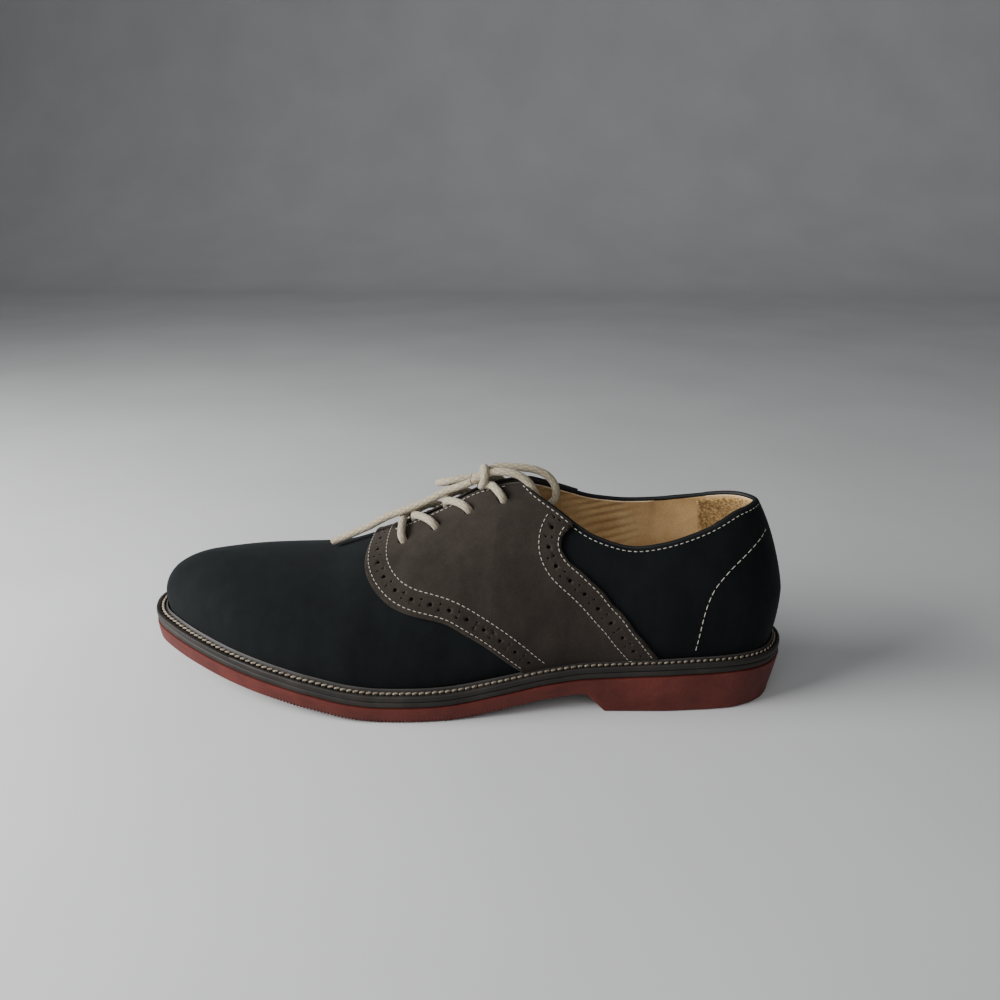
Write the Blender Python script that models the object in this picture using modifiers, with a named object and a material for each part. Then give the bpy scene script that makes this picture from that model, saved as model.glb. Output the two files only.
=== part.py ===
"""A left saddle shoe in suede, on a stitched welt and a moulded rubber sole, standing empty.

Metres, +Z up, +X from heel to toe, +Y outward (the little toe's side). The shoe's own frame starts at
the back of the heel, on the floor. The empty "shoe" then sets the middle of the whole over the origin.
"""

import math

import bmesh
import bpy
import numpy as np
from mathutils import Vector

# Driving sizes of the last and of the sole
LENGTH = 0.3035
BALL_WIDTH = 0.103
INSTEP_HEIGHT = 0.098
HEEL_HEIGHT = 0.019
FOREPART_THICK = 0.0075
ARCH_RISE = 0.0088
TOE_SPRING = 0.017
MIDSOLE_THICK = 0.0029
WELT_THICK = 0.0027
WELT_OUT = 0.0065
WELT_OUT_HEEL = 0.0048
WELT_RING = 0.0110
INSOLE_THICK = 0.0045
WALL = 0.0022
OVERLAY = 0.0012
TONGUE_THICK = 0.0025
GAP = 0.0003

# Sizes of the sole's edges
EDGE_ROUND = 0.0010
EDGE_TUCK = 0.0006
HEEL_TUCK = 0.0034
HEEL_TUCK_END = 0.08
MIDSOLE_INSET = 0.0005
BREAST_FOOT = 0.273
BREAST_TOP = 0.300
WELT_NARROW_END = 0.2
WELT_WIDE_START = 0.5

# Throat and lacing
THROAT_FRONT = 0.598
THROAT_GAP_FRONT = 0.0024
THROAT_GAP_TOP = 0.0044
FACING_TOP = 0.410
EYELETS = 4
EYELET_FIRST = 0.577
EYELET_LAST = 0.426
EYELET_INSET_FIRST = 0.0125
EYELET_INSET_LAST = 0.0085
EYELET_RADIUS = 0.0024
EYELET_SIDES = 12
LACE_RADIUS = 0.0018
LACE_SIDES = 8
LACE_BEND = 0.0024
LACE_DIP = 0.0003
CROSS_LEAD = 0.034
CROSS_LEAD_TOP = 0.003
CROSS_LEAN = 0.006
CROSS_TAIL = 0.0008
TONGUE_TOP = 0.402
TONGUE_END = 0.640
TONGUE_HALF_TOP = 0.027
TONGUE_HALF_END = 0.021
TONGUE_GAP = 0.0007

# Meshes
COLUMNS = 46
LOW_ROWS = 2
HIGH_ROWS = 8
DENSE = 600
TONGUE_ROWS = 13
TONGUE_STEPS = 11
PROBE = 0.0004
PIN_REACH = 0.004
BEND_STEPS = 4
LEVEL_STEPS = 3
SHARP_EDGE = math.radians(40)
SAME_STATION = 1e-6

# Outline of the sole's top edge. The lengths are shares of LENGTH, the widths of BALL_WIDTH.
PLAN_COLUMNS = ("station", "centre", "half_width")
PLAN = (
    (0.00, 0.000, 0.000),
    (0.03, 0.001, 0.199),
    (0.06, 0.002, 0.253),
    (0.10, 0.003, 0.288),
    (0.14, 0.005, 0.306),
    (0.20, 0.009, 0.323),
    (0.31, 0.027, 0.327),
    (0.36, 0.042, 0.335),
    (0.44, 0.050, 0.377),
    (0.53, 0.039, 0.442),
    (0.60, 0.016, 0.482),
    (0.66, 0.000, 0.498),
    (0.71, -0.020, 0.498),
    (0.76, -0.035, 0.481),
    (0.83, -0.050, 0.430),
    (0.90, -0.064, 0.340),
    (0.95, -0.073, 0.247),
    (0.98, -0.078, 0.169),
    (1.00, -0.080, 0.000),
)

# Side of the sole. heel is a share of HEEL_HEIGHT above the forepart, arch of ARCH_RISE, spring of TOE_SPRING.
SIDE_COLUMNS = ("station", "heel", "arch", "spring")
SIDE = (
    (0.00, 1.00, 1.00, 0.00),
    (0.14, 0.95, 1.00, 0.00),
    (0.27, 0.82, 1.00, 0.00),
    (0.31, 0.76, 0.98, 0.00),
    (0.36, 0.60, 0.80, 0.00),
    (0.40, 0.42, 0.52, 0.00),
    (0.44, 0.25, 0.27, 0.00),
    (0.48, 0.09, 0.06, 0.00),
    (0.51, 0.02, 0.00, 0.00),
    (0.55, 0.00, 0.00, 0.00),
    (0.60, 0.00, 0.00, 0.00),
    (0.65, 0.00, 0.00, 0.08),
    (0.71, 0.00, 0.00, 0.24),
    (0.79, 0.00, 0.00, 0.47),
    (0.86, 0.00, 0.00, 0.68),
    (0.93, 0.00, 0.00, 0.86),
    (1.00, 0.00, 0.00, 1.00),
)

# Sections of the last. ridge is the height of the ridge over the floor and swell_height the height of the
# widest point over the welt, as shares of INSTEP_HEIGHT. ridge_y and swell are shares of BALL_WIDTH.
# side and top are the powers of the section's curve.
SECTION_COLUMNS = ("station", "ridge", "ridge_y", "swell", "swell_height", "side", "top")
SECTION = (
    (0.00, 1.090, 0.000, 0.028, 0.250, 2.00, 1.30),
    (0.06, 1.080, 0.004, 0.029, 0.240, 2.00, 1.35),
    (0.14, 1.040, 0.008, 0.030, 0.210, 1.95, 1.60),
    (0.24, 1.020, 0.010, 0.030, 0.170, 1.85, 1.85),
    (0.33, 1.020, 0.008, 0.030, 0.140, 1.80, 1.90),
    (0.41, 1.000, 0.000, 0.026, 0.120, 1.80, 1.85),
    (0.46, 0.955, -0.010, 0.019, 0.110, 1.80, 1.80),
    (0.52, 0.850, -0.020, 0.015, 0.100, 1.85, 1.80),
    (0.58, 0.755, -0.028, 0.013, 0.095, 1.90, 1.85),
    (0.64, 0.680, -0.036, 0.013, 0.090, 2.00, 1.90),
    (0.70, 0.617, -0.043, 0.013, 0.085, 2.10, 1.95),
    (0.78, 0.592, -0.050, 0.013, 0.080, 2.20, 2.00),
    (0.87, 0.582, -0.056, 0.010, 0.075, 2.20, 2.05),
    (1.00, 0.577, -0.060, 0.008, 0.070, 2.15, 2.10),
)

# Height of the collar's edge over the floor on each side, as shares of INSTEP_HEIGHT
COLLAR_COLUMNS = ("station", "outer", "inner")
COLLAR = (
    (0.00, 0.935, 0.935),
    (0.05, 0.920, 0.922),
    (0.09, 0.884, 0.906),
    (0.12, 0.853, 0.893),
    (0.155, 0.822, 0.879),
    (0.19, 0.796, 0.864),
    (0.236, 0.778, 0.858),
    (0.29, 0.815, 0.876),
    (0.35, 0.922, 0.942),
    (0.40, 1.002, 1.010),
    (0.44, 1.120, 1.120),
)

# Edges of the saddle from the side. height is a share of INSTEP_HEIGHT.
SADDLE_COLUMNS = ("height", "front", "rear")
SADDLE = (
    (0.100, 0.365, 0.150),
    (0.150, 0.379, 0.165),
    (0.215, 0.399, 0.184),
    (0.300, 0.428, 0.206),
    (0.370, 0.457, 0.222),
    (0.418, 0.482, 0.235),
    (0.458, 0.505, 0.243),
    (0.474, 0.524, 0.247),
    (0.490, 0.553, 0.251),
    (0.518, 0.583, 0.260),
    (0.548, 0.601, 0.270),
    (0.587, 0.618, 0.279),
    (0.646, 0.634, 0.300),
    (0.675, 0.636, 0.310),
    (0.730, 0.630, 0.333),
    (0.785, 0.625, 0.343),
    (0.820, 0.620, 0.342),
    (0.870, 0.620, 0.328),
    (0.950, 0.620, 0.310),
    (1.200, 0.620, 0.300),
)
SADDLE_HALF_WIDTH = 0.09
SADDLE_LIFT = 0.0006
SADDLE_FROM = 0.13
SADDLE_TO = 0.67
SADDLE_STEPS = 34

# Routes of the free lace, in metres in the shoe's own frame: the knot, both loops and both ends
KNOT_RADIUS = 0.0045
CORD_STEP = 0.0055
ROUTES = {
    "lace_knot": (
        (0.1400, -0.0045, 0.0985),
        (0.1398, 0.0010, 0.1000),
        (0.1396, 0.0060, 0.1000),
    ),
    "lace_loop_rear": (
        (0.1350, 0.0048, 0.1034),
        (0.1290, 0.0058, 0.1036),
        (0.1235, 0.0066, 0.1024),
        (0.1190, 0.0070, 0.0992),
        (0.1164, 0.0068, 0.0948),
        (0.1142, 0.0056, 0.0903),
        (0.1106, 0.0030, 0.0875),
        (0.1073, -0.0002, 0.0893),
        (0.1072, -0.0022, 0.0945),
        (0.1104, -0.0028, 0.0992),
        (0.1160, -0.0026, 0.1022),
        (0.1220, -0.0020, 0.1034),
        (0.1285, -0.0016, 0.1040),
        (0.1352, -0.0013, 0.1040),
    ),
    "lace_loop_front": (
        (0.1452, -0.0008, 0.0988),
        (0.1510, -0.0012, 0.0976),
        (0.1565, -0.0026, 0.0960),
        (0.1606, -0.0060, 0.0942),
        (0.1621, -0.0108, 0.0925),
        (0.1603, -0.0154, 0.0912),
        (0.1558, -0.0170, 0.0912),
        (0.1514, -0.0146, 0.0926),
        (0.1482, -0.0104, 0.0943),
        (0.1452, -0.0056, 0.0962),
    ),
    "lace_end_front": (
        (0.1450, 0.0044, 0.0982),
        (0.1500, 0.0035, 0.0958),
        (0.1560, 0.0015, 0.0930),
        (0.1645, 0.0005, 0.0880),
        (0.1758, -0.0005, 0.0826),
        (0.1857, -0.0022, 0.0780),
        (0.1953, -0.0034, 0.0722),
        (0.2024, -0.0042, 0.0686),
        (0.2096, -0.0050, 0.0650),
        (0.2135, -0.0053, 0.0633),
    ),
    "lace_end_inner": (
        (0.1398, -0.0056, 0.0986),
        (0.1390, -0.0102, 0.0991),
        (0.1374, -0.0150, 0.0980),
        (0.1380, -0.0200, 0.0943),
        (0.1405, -0.0250, 0.0880),
        (0.1440, -0.0290, 0.0810),
        (0.1470, -0.0320, 0.0740),
    ),
}

# Ends of the spine that the columns of the round toe and heel lean to, as shares of LENGTH
SPINE_HEEL = 0.115
SPINE_TOE = 0.860
SPINE_STEP = 0.25
SPINE_BLEND = 0.03
SPINE_HEEL_END = 0.2
RIM_BLEND = 0.02

OUTER, INNER = 1, -1


def smooth_curve(xs, ys):
    """A monotone cubic through the points, as a function of numbers or arrays."""
    xs = np.asarray(xs, float)
    ys = np.asarray(ys, float)
    step = np.diff(xs)
    slope = np.diff(ys) / step
    tangent = np.zeros(len(xs))
    tangent[0], tangent[-1] = slope[0], slope[-1]
    for i in range(1, len(xs) - 1):
        before, after = slope[i - 1], slope[i]
        if before * after > 0:
            wide = 2 * step[i] + step[i - 1]
            narrow = step[i] + 2 * step[i - 1]
            tangent[i] = (wide + narrow) / (wide / before + narrow / after)

    def curve(x):
        x = np.clip(np.asarray(x, float), xs[0], xs[-1])
        i = np.clip(np.searchsorted(xs, x, side="right") - 1, 0, len(xs) - 2)
        width = xs[i + 1] - xs[i]
        t = (x - xs[i]) / width
        return (
            ys[i] * (1 + 2 * t) * (1 - t) ** 2
            + ys[i + 1] * t**2 * (3 - 2 * t)
            + width * tangent[i] * t * (1 - t) ** 2
            - width * tangent[i + 1] * t**2 * (1 - t)
        )

    return curve


def column(rows, names, name):
    """One column of a table as a smooth function of the station."""
    at = names.index(name)
    return smooth_curve([row[0] for row in rows], [row[at] for row in rows])


plan_centre = column(PLAN, PLAN_COLUMNS, "centre")
plan_square = smooth_curve([row[0] for row in PLAN], [row[2] ** 2 for row in PLAN])
side_heel = column(SIDE, SIDE_COLUMNS, "heel")
side_arch = column(SIDE, SIDE_COLUMNS, "arch")
side_spring = column(SIDE, SIDE_COLUMNS, "spring")
section = {name: column(SECTION, SECTION_COLUMNS, name) for name in SECTION_COLUMNS[1:]}
collar = {OUTER: column(COLLAR, COLLAR_COLUMNS, "outer"), INNER: column(COLLAR, COLLAR_COLUMNS, "inner")}


def soft_min(a, b, blend):
    return -blend * np.logaddexp(-a / blend, -b / blend)


def soft_max(a, b, blend):
    return blend * np.logaddexp(a / blend, b / blend)


def outsole_top(s):
    return FOREPART_THICK + side_heel(s) * (HEEL_HEIGHT - FOREPART_THICK) + side_spring(s) * TOE_SPRING


def tread(s):
    """Height of the tread: flat under the heel, up the slanting breast, over the arch, then the toe spring."""
    rise = np.clip((s - BREAST_FOOT) / (BREAST_TOP - BREAST_FOOT), 0, 1)
    return rise * side_arch(s) * ARCH_RISE + side_spring(s) * TOE_SPRING


def feather_inset(s):
    """How far the welt stands out around the upper."""
    share = np.clip((s - WELT_NARROW_END) / (WELT_WIDE_START - WELT_NARROW_END), 0, 1)
    return WELT_OUT_HEEL + (WELT_OUT - WELT_OUT_HEEL) * share


# The sole's edge, dense, as angles that crowd at both round ends
angles = np.linspace(0, math.pi, DENSE)
dense_s = (1 - np.cos(angles)) / 2


def dense_edge(side):
    half = np.sqrt(np.clip(plan_square(dense_s), 0, None))
    return np.stack([dense_s * LENGTH, (plan_centre(dense_s) + side * half) * BALL_WIDTH], axis=1)


def dense_normals(side):
    tangent = np.gradient(dense_edge(side), axis=0)
    tangent[0] = (0, side)
    tangent[-1] = (0, -side)
    tangent /= np.linalg.norm(tangent, axis=1)[:, None]
    return np.stack([tangent[:, 1], -tangent[:, 0]], axis=1) * side


edge = {side: dense_edge(side) for side in (OUTER, INNER)}
inward = {side: dense_normals(side) for side in (OUTER, INNER)}


def edge_point(s, side, inset):
    """A point of the sole's outline, moved in by an inset at right angles to it."""
    s = np.asarray(s, float)
    base = np.stack([np.interp(s, dense_s, edge[side][:, k]) for k in (0, 1)], axis=-1)
    move = np.stack([np.interp(s, dense_s, inward[side][:, k]) for k in (0, 1)], axis=-1)
    return base + move * np.asarray(inset)[..., None]


def column_stations():
    """Stations at even steps along the outline, with the two edges of the heel's breast among them."""
    middle = (edge[OUTER] + edge[INNER] * (1, -1)) / 2
    steps = np.linalg.norm(np.diff(middle, axis=0), axis=1)
    run = np.concatenate([[0], np.cumsum(steps)])
    found = np.interp(np.linspace(0, run[-1], COLUMNS + 1), run, dense_s)
    for wanted in (BREAST_FOOT, BREAST_TOP, THROAT_FRONT):
        found[np.abs(found - wanted).argmin()] = wanted
    return found, np.interp(found, dense_s, run), run[-1]


stations, runs, whole_run = column_stations()


def loop(inset, height):
    """One ring of points around the shoe: the outer side from heel to toe, then the inner side back."""
    depth = inset(stations) if callable(inset) else np.full(len(stations), inset)
    points = []
    for side, picked in ((OUTER, range(len(stations))), (INNER, range(len(stations) - 2, 0, -1))):
        flat = edge_point(stations, side, depth)
        level = height(flat[:, 0] / LENGTH)
        points += [(flat[i, 0], flat[i, 1], level[i]) for i in picked]
    return points


def finished(name, bm, material):
    """Puts a mesh in the shoe's collection under its name, with its faces pointing out."""
    bmesh.ops.recalc_face_normals(bm, faces=bm.faces)
    mesh = bpy.data.meshes.new(name)
    bm.to_mesh(mesh)
    bm.free()
    mesh.shade_smooth()
    mesh.set_sharp_from_angle(angle=SHARP_EDGE)
    obj = bpy.data.objects.new(name, mesh)
    if material:
        obj.data.materials.append(material)
    return obj


def bridge(bm, low, high):
    count = len(low)
    for i in range(count):
        j = (i + 1) % count
        bm.faces.new((low[i], low[j], high[j], high[i]))


def cap(bm, ring):
    """Closes a ring with strips from the outer to the inner side."""
    count = len(ring)
    last = count // 2
    bm.faces.new((ring[0], ring[1], ring[-1]))
    for i in range(1, last - 1):
        bm.faces.new((ring[i], ring[i + 1], ring[count - i - 1], ring[count - i]))
    bm.faces.new((ring[last - 1], ring[last], ring[last + 1]))


def plate(name, rings, material):
    """A solid through stacked rings, closed below and above."""
    bm = bmesh.new()
    rows = [[bm.verts.new(point) for point in ring] for ring in rings]
    for low, high in zip(rows, rows[1:]):
        bridge(bm, low, high)
    cap(bm, rows[0])
    cap(bm, rows[-1])
    return finished(name, bm, material)


def hoop(name, rings, material):
    """A closed frame through rings that go round its section and end where they began."""
    bm = bmesh.new()
    rows = [[bm.verts.new(point) for point in ring] for ring in rings]
    for low, high in zip(rows, rows[1:] + rows[:1]):
        bridge(bm, low, high)
    return finished(name, bm, material)


def edge_tuck(s):
    """How far the rubber's side draws in towards the floor: most at the back of the heel."""
    return EDGE_TUCK + (HEEL_TUCK - EDGE_TUCK) * np.clip(1 - s / HEEL_TUCK_END, 0, 1)


def make_outsole(material):
    rings = [
        loop(lambda s: edge_tuck(s) + EDGE_ROUND, tread),
        loop(edge_tuck, lambda s: tread(s) + EDGE_ROUND),
        loop(0.0, outsole_top),
    ]
    return plate("outsole", rings, material)


def make_midsole(material):
    low = loop(MIDSOLE_INSET, lambda s: outsole_top(s) + GAP)
    high = loop(MIDSOLE_INSET, lambda s: outsole_top(s) + GAP + MIDSOLE_THICK)
    return plate("midsole", [low, high], material)


def welt_base(s):
    return outsole_top(s) + MIDSOLE_THICK + 2 * GAP


def welt_top(s):
    return welt_base(s) + WELT_THICK


def welt_inset(s):
    """Where the welt ends under the upper."""
    return feather_inset(s) + WELT_RING - WELT_OUT


def make_welt(material):
    rings = [loop(0.0, welt_base), loop(0.0, welt_top), loop(welt_inset, welt_top), loop(welt_inset, welt_base)]
    return hoop("welt", rings, material)


def insole_inset(s):
    return welt_inset(s) + GAP


def make_insole(material):
    low = loop(insole_inset, welt_base)
    high = loop(insole_inset, lambda s: welt_base(s) + INSOLE_THICK)
    return plate("insole", [low, high], material)


def upper_floor(s):
    return welt_top(s) + GAP


def spine(s):
    """The point of the ridge that a column of the upper leans to."""
    run = np.interp(s, stations, runs)
    along = np.asarray(s, float) * LENGTH
    blend = SPINE_BLEND * LENGTH
    toe_line = SPINE_TOE * LENGTH - SPINE_STEP * (whole_run - run)
    heel_line = SPINE_HEEL * LENGTH + SPINE_STEP * run
    x = soft_max(soft_min(along, toe_line, blend), heel_line, blend)
    at = x / LENGTH
    return x, section["ridge_y"](at) * BALL_WIDTH, section["ridge"](at) * INSTEP_HEIGHT


def column_shape(s, side):
    """Foot, spine and powers of one column of the upper."""
    foot = edge_point(s, side, feather_inset(s))
    x, y, ridge = spine(s)
    heel = section["ridge"](s) * INSTEP_HEIGHT
    ridge += (heel - ridge) * np.clip(2 - 2 * s / SPINE_HEEL_END, 0, 1)
    reach = math.hypot(foot[0] - x, foot[1] - y)
    return {
        "foot": foot,
        "spine": np.array([x, y]),
        "floor": float(upper_floor(foot[0] / LENGTH)),
        "ridge": float(ridge),
        "reach": reach,
        "swell": float(section["swell"](s)) * BALL_WIDTH,
        "swell_height": float(section["swell_height"](s)) * INSTEP_HEIGHT,
        "side": float(section["side"](s)),
        "top": float(section["top"](s)),
    }


def gap_at(s):
    """Half the throat's opening."""
    share = np.clip((THROAT_FRONT - s) / (THROAT_FRONT - FACING_TOP), 0, 1)
    return THROAT_GAP_FRONT + share * (THROAT_GAP_TOP - THROAT_GAP_FRONT)


def cut_angle(s, side, shape):
    """Where the column ends: at the ridge, at the throat's edge or at the collar."""
    if s >= THROAT_FRONT - SAME_STATION:
        return math.pi / 2
    widest = shape["reach"] + shape["swell"]
    throat = math.acos(min(1.0, (gap_at(s) / widest) ** (shape["side"] / 2)))
    rise = shape["ridge"] - shape["floor"] - shape["swell_height"]
    level = float(collar[side](s)) * INSTEP_HEIGHT - shape["floor"] - shape["swell_height"]
    share = (level / rise) ** (shape["top"] / 2)
    top = math.asin(share) if share < 1 else math.pi / 2 + 2 * (share - 1)
    return float(soft_min(throat, top, RIM_BLEND))


def column_point(shape, height_share=None, angle=None):
    """A point of the column: below the swell by its share of the height, above it by its angle."""
    widest = shape["reach"] + shape["swell"]
    if angle is None:
        r = shape["reach"] + shape["swell"] * (1 - (1 - height_share) ** 2)
        z = shape["floor"] + shape["swell_height"] * height_share
    else:
        rise = shape["ridge"] - shape["floor"] - shape["swell_height"]
        r = widest * math.cos(angle) ** (2 / shape["side"])
        z = shape["floor"] + shape["swell_height"] + rise * math.sin(angle) ** (2 / shape["top"])
    away = (shape["foot"] - shape["spine"]) / shape["reach"]
    flat = shape["spine"] + away * r
    return Vector((flat[0], flat[1], z))


def column_points(s, side):
    shape = column_shape(s, side)
    end = cut_angle(s, side, shape)
    low = [column_point(shape, height_share=k / LOW_ROWS) for k in range(LOW_ROWS)]
    high = [column_point(shape, angle=end * k / HIGH_ROWS) for k in range(HIGH_ROWS + 1)]
    return low + high


def upper_surface(first=0.0, end=1.0):
    """The open surface of the upper's outside: columns from the welt to the ridge, throat or collar."""
    bm = bmesh.new()
    grid = {}
    picked = [s for s in stations if first <= s <= end]
    last = len(picked) - 1
    for i, s in enumerate(picked):
        for side in (OUTER, INNER):
            if s in (stations[0], stations[-1]) and side == INNER:
                grid[i, side] = grid[i, OUTER]
                continue
            points = column_points(s, side)
            verts = [bm.verts.new(point) for point in points[:-1]]
            shared = side == INNER and s >= THROAT_FRONT - SAME_STATION
            verts.append(grid[i, OUTER][-1] if shared else bm.verts.new(points[-1]))
            grid[i, side] = verts
    for i in range(last):
        for side in (OUTER, INNER):
            here, there = grid[i, side], grid[i + 1, side]
            for k in range(len(here) - 1):
                corners = (here[k], there[k], there[k + 1], here[k + 1])
                bm.faces.new(dict.fromkeys(corners))
    bmesh.ops.recalc_face_normals(bm, faces=bm.faces)
    probe = max(bm.faces, key=lambda face: face.calc_center_median().y)
    if probe.normal.y < 0:
        bmesh.ops.reverse_faces(bm, faces=bm.faces)
    return bm


def shell(name, bm, thickness, offset, material):
    """A sheet of even thickness on an open surface. Offset -1 lies inside it, 1 outside."""
    mesh = bpy.data.meshes.new(name)
    bmesh.ops.triangulate(bm, faces=bm.faces)
    bm.to_mesh(mesh)
    bm.free()
    mesh.shade_smooth()
    obj = bpy.data.objects.new(name, mesh)
    obj.data.materials.append(material)
    wall = obj.modifiers.new("wall", "SOLIDIFY")
    wall.thickness = thickness
    wall.offset = offset
    wall.use_even_offset = True
    return obj


def carve(obj, cutter, operation):
    """Cuts the object with a closed helper, or keeps only what is inside the helper."""
    cut = obj.modifiers.new(cutter.name, "BOOLEAN")
    cut.operation = operation
    cut.solver = "EXACT"
    cut.object = cutter


def make_upper(material, eyelets):
    obj = shell("upper", upper_surface(), WALL, -1, material)
    carve(obj, eyelets, "DIFFERENCE")
    return obj


def make_saddle(material, outline, eyelets):
    """The band over the waist, a second skin on the upper that the side outline trims."""
    obj = shell("saddle", upper_surface(SADDLE_FROM, SADDLE_TO), OVERLAY, 1 + 2 * GAP / OVERLAY, material)
    carve(obj, outline, "INTERSECT")
    carve(obj, eyelets, "DIFFERENCE")
    return obj


def saddle_outline():
    """The saddle's outline from the side, as a thick slab right through the shoe."""
    shares = np.linspace(SADDLE[0][0], SADDLE[-1][0], SADDLE_STEPS)
    edges = []
    for name in ("front", "rear"):
        line = column(SADDLE, SADDLE_COLUMNS, name)
        places = [(float(line(share)), share * INSTEP_HEIGHT) for share in shares]
        edges.append([(s, z) for s, z in places if z > upper_floor(s) + SADDLE_LIFT])
    ahead, behind = edges
    foot = [(s, float(upper_floor(s) + SADDLE_LIFT)) for s in np.linspace(behind[0][0], ahead[0][0], SADDLE_STEPS)]
    outline = foot + ahead[1:] + behind[:0:-1]
    bm = bmesh.new()
    walls = []
    for y in (-SADDLE_HALF_WIDTH, SADDLE_HALF_WIDTH):
        walls.append([bm.verts.new((s * LENGTH, y, z)) for s, z in outline])
        bm.faces.new(walls[-1])
    bridge(bm, *walls)
    return finished("saddle_outline", bm, None)


def ridge_point(s, side, across):
    """A point of the upper's outside near the ridge, by its level distance from the ridge."""
    if across < 0:
        side, across = -side, -across
    shape = column_shape(s, side)
    widest = shape["reach"] + shape["swell"]
    angle = math.acos(min(1.0, (across / widest) ** (shape["side"] / 2)))
    return column_point(shape, angle=angle)


def over_ridge(s, side, across, lift):
    """The same point, lifted at right angles to the surface."""
    ahead = ridge_point(s + PROBE / LENGTH, side, across) - ridge_point(s - PROBE / LENGTH, side, across)
    down = ridge_point(s, side, across + PROBE) - ridge_point(s, side, across - PROBE)
    normal = ahead.cross(down).normalized()
    if normal.z < 0:
        normal.negate()
    return ridge_point(s, side, across) + normal * lift


def eyelet(index):
    """Station of an eyelet and its level distance from the ridge."""
    share = index / (EYELETS - 1)
    s = EYELET_FIRST + share * (EYELET_LAST - EYELET_FIRST)
    inset = EYELET_INSET_FIRST + share * (EYELET_INSET_LAST - EYELET_INSET_FIRST)
    return s, float(gap_at(s)) + inset


def make_tongue(material):
    """A sheet under the throat, one gap inside the upper's wall."""
    bm = bmesh.new()
    layers = []
    for lift in (-WALL - TONGUE_GAP, -WALL - TONGUE_GAP - TONGUE_THICK):
        rows = []
        for share in np.linspace(0, 1, TONGUE_ROWS):
            s = TONGUE_TOP + share * (TONGUE_END - TONGUE_TOP)
            half = TONGUE_HALF_TOP + share * (TONGUE_HALF_END - TONGUE_HALF_TOP)
            spread = np.linspace(-half, half, TONGUE_STEPS)
            rows.append([bm.verts.new(over_ridge(s, OUTER, across, lift)) for across in spread])
        layers.append(rows)
    for rows in layers:
        for here, there in zip(rows, rows[1:]):
            for k in range(TONGUE_STEPS - 1):
                bm.faces.new((here[k], there[k], there[k + 1], here[k + 1]))
    rims = []
    for rows in layers:
        left = [row[0] for row in rows]
        right = [row[-1] for row in rows]
        rims.append(rows[0] + right[1:] + rows[-1][-2::-1] + left[-2:0:-1])
    bridge(bm, *rims)
    bmesh.ops.triangulate(bm, faces=bm.faces)
    return finished("tongue", bm, material)


def tube(bm, points, radius, sides):
    """A round cord through the points, closed at both ends."""
    points = [Vector(point) for point in points]
    steps = [(b - a).normalized() for a, b in zip(points, points[1:])]
    heads = [steps[0]] + [(a + b).normalized() for a, b in zip(steps, steps[1:])] + [steps[-1]]
    across = heads[0].orthogonal().normalized()
    rings = []
    for point, head in zip(points, heads):
        across = (across - head * across.dot(head)).normalized()
        other = head.cross(across)
        turns = [2 * math.pi * k / sides for k in range(sides)]
        rings.append([bm.verts.new(point + (across * math.cos(t) + other * math.sin(t)) * radius) for t in turns])
    for low, high in zip(rings, rings[1:]):
        bridge(bm, low, high)
    bm.faces.new(rings[0])
    bm.faces.new(rings[-1])


def arc_over(corner_across, corner_lift, start, end):
    """Points (across, lift) on a bend round an edge of the leather."""
    turns = np.linspace(math.radians(start), math.radians(end), BEND_STEPS + 1)
    return [(corner_across + LACE_BEND * math.cos(t), corner_lift + LACE_BEND * math.sin(t)) for t in turns]


def strand(index, side, lead, tail):
    """One strand: out of the throat, over the facing's edge and down into an eyelet, as points in space."""
    s_end, hole = eyelet(index)
    skin_top = GAP + OVERLAY
    start = s_end + lead
    edge_at = float(gap_at(start))
    path = []
    if tail is not None:
        path.append((start + CROSS_LEAN, -tail, LACE_RADIUS + GAP - WALL - TONGUE_GAP))
        bend = arc_over(edge_at, skin_top, 180, 90)
        path += [(start + CROSS_LEAN * (1 - k / len(bend)), *point) for k, point in enumerate(bend)]
    else:
        path.append((start, 0.0, skin_top + LACE_BEND))
    from_s, from_across, _ = path[-1]
    rim = hole - EYELET_RADIUS

    def at(across):
        return from_s + (s_end - from_s) * min(1.0, (across - from_across) / (hole - from_across))

    middle = np.linspace(from_across, rim, LEVEL_STEPS + 1)[1:-1]
    level = [(at(across), across, skin_top + LACE_BEND) for across in middle]
    fall = [(at(across), across, lift) for across, lift in arc_over(rim, skin_top, 90, 0)]
    path = path + level + fall + [(s_end, hole, LACE_DIP)]
    return [over_ridge(s, side, across, lift) for s, across, lift in path]


def make_bar(material):
    """The straight bar over the first pair of eyelets."""
    bm = bmesh.new()
    outer = strand(0, OUTER, 0.0, None)
    inner = strand(0, INNER, 0.0, None)
    tube(bm, outer[:0:-1] + inner, LACE_RADIUS, LACE_SIDES)
    return finished("lace_bar", bm, material)


def make_cross(index, material):
    """Two strands that cross in the throat, joined there. Returns the solid and the helper it joins."""
    name = f"lace_cross_{index}"
    halves = []
    for side, suffix in ((OUTER, ""), (INNER, "_inner")):
        bm = bmesh.new()
        lead = CROSS_LEAD_TOP if index == EYELETS - 1 else CROSS_LEAD
        tube(bm, strand(index, side, lead, CROSS_TAIL), LACE_RADIUS, LACE_SIDES)
        halves.append(finished(name + suffix, bm, material))
    carve(halves[0], halves[1], "UNION")
    return halves


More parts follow.
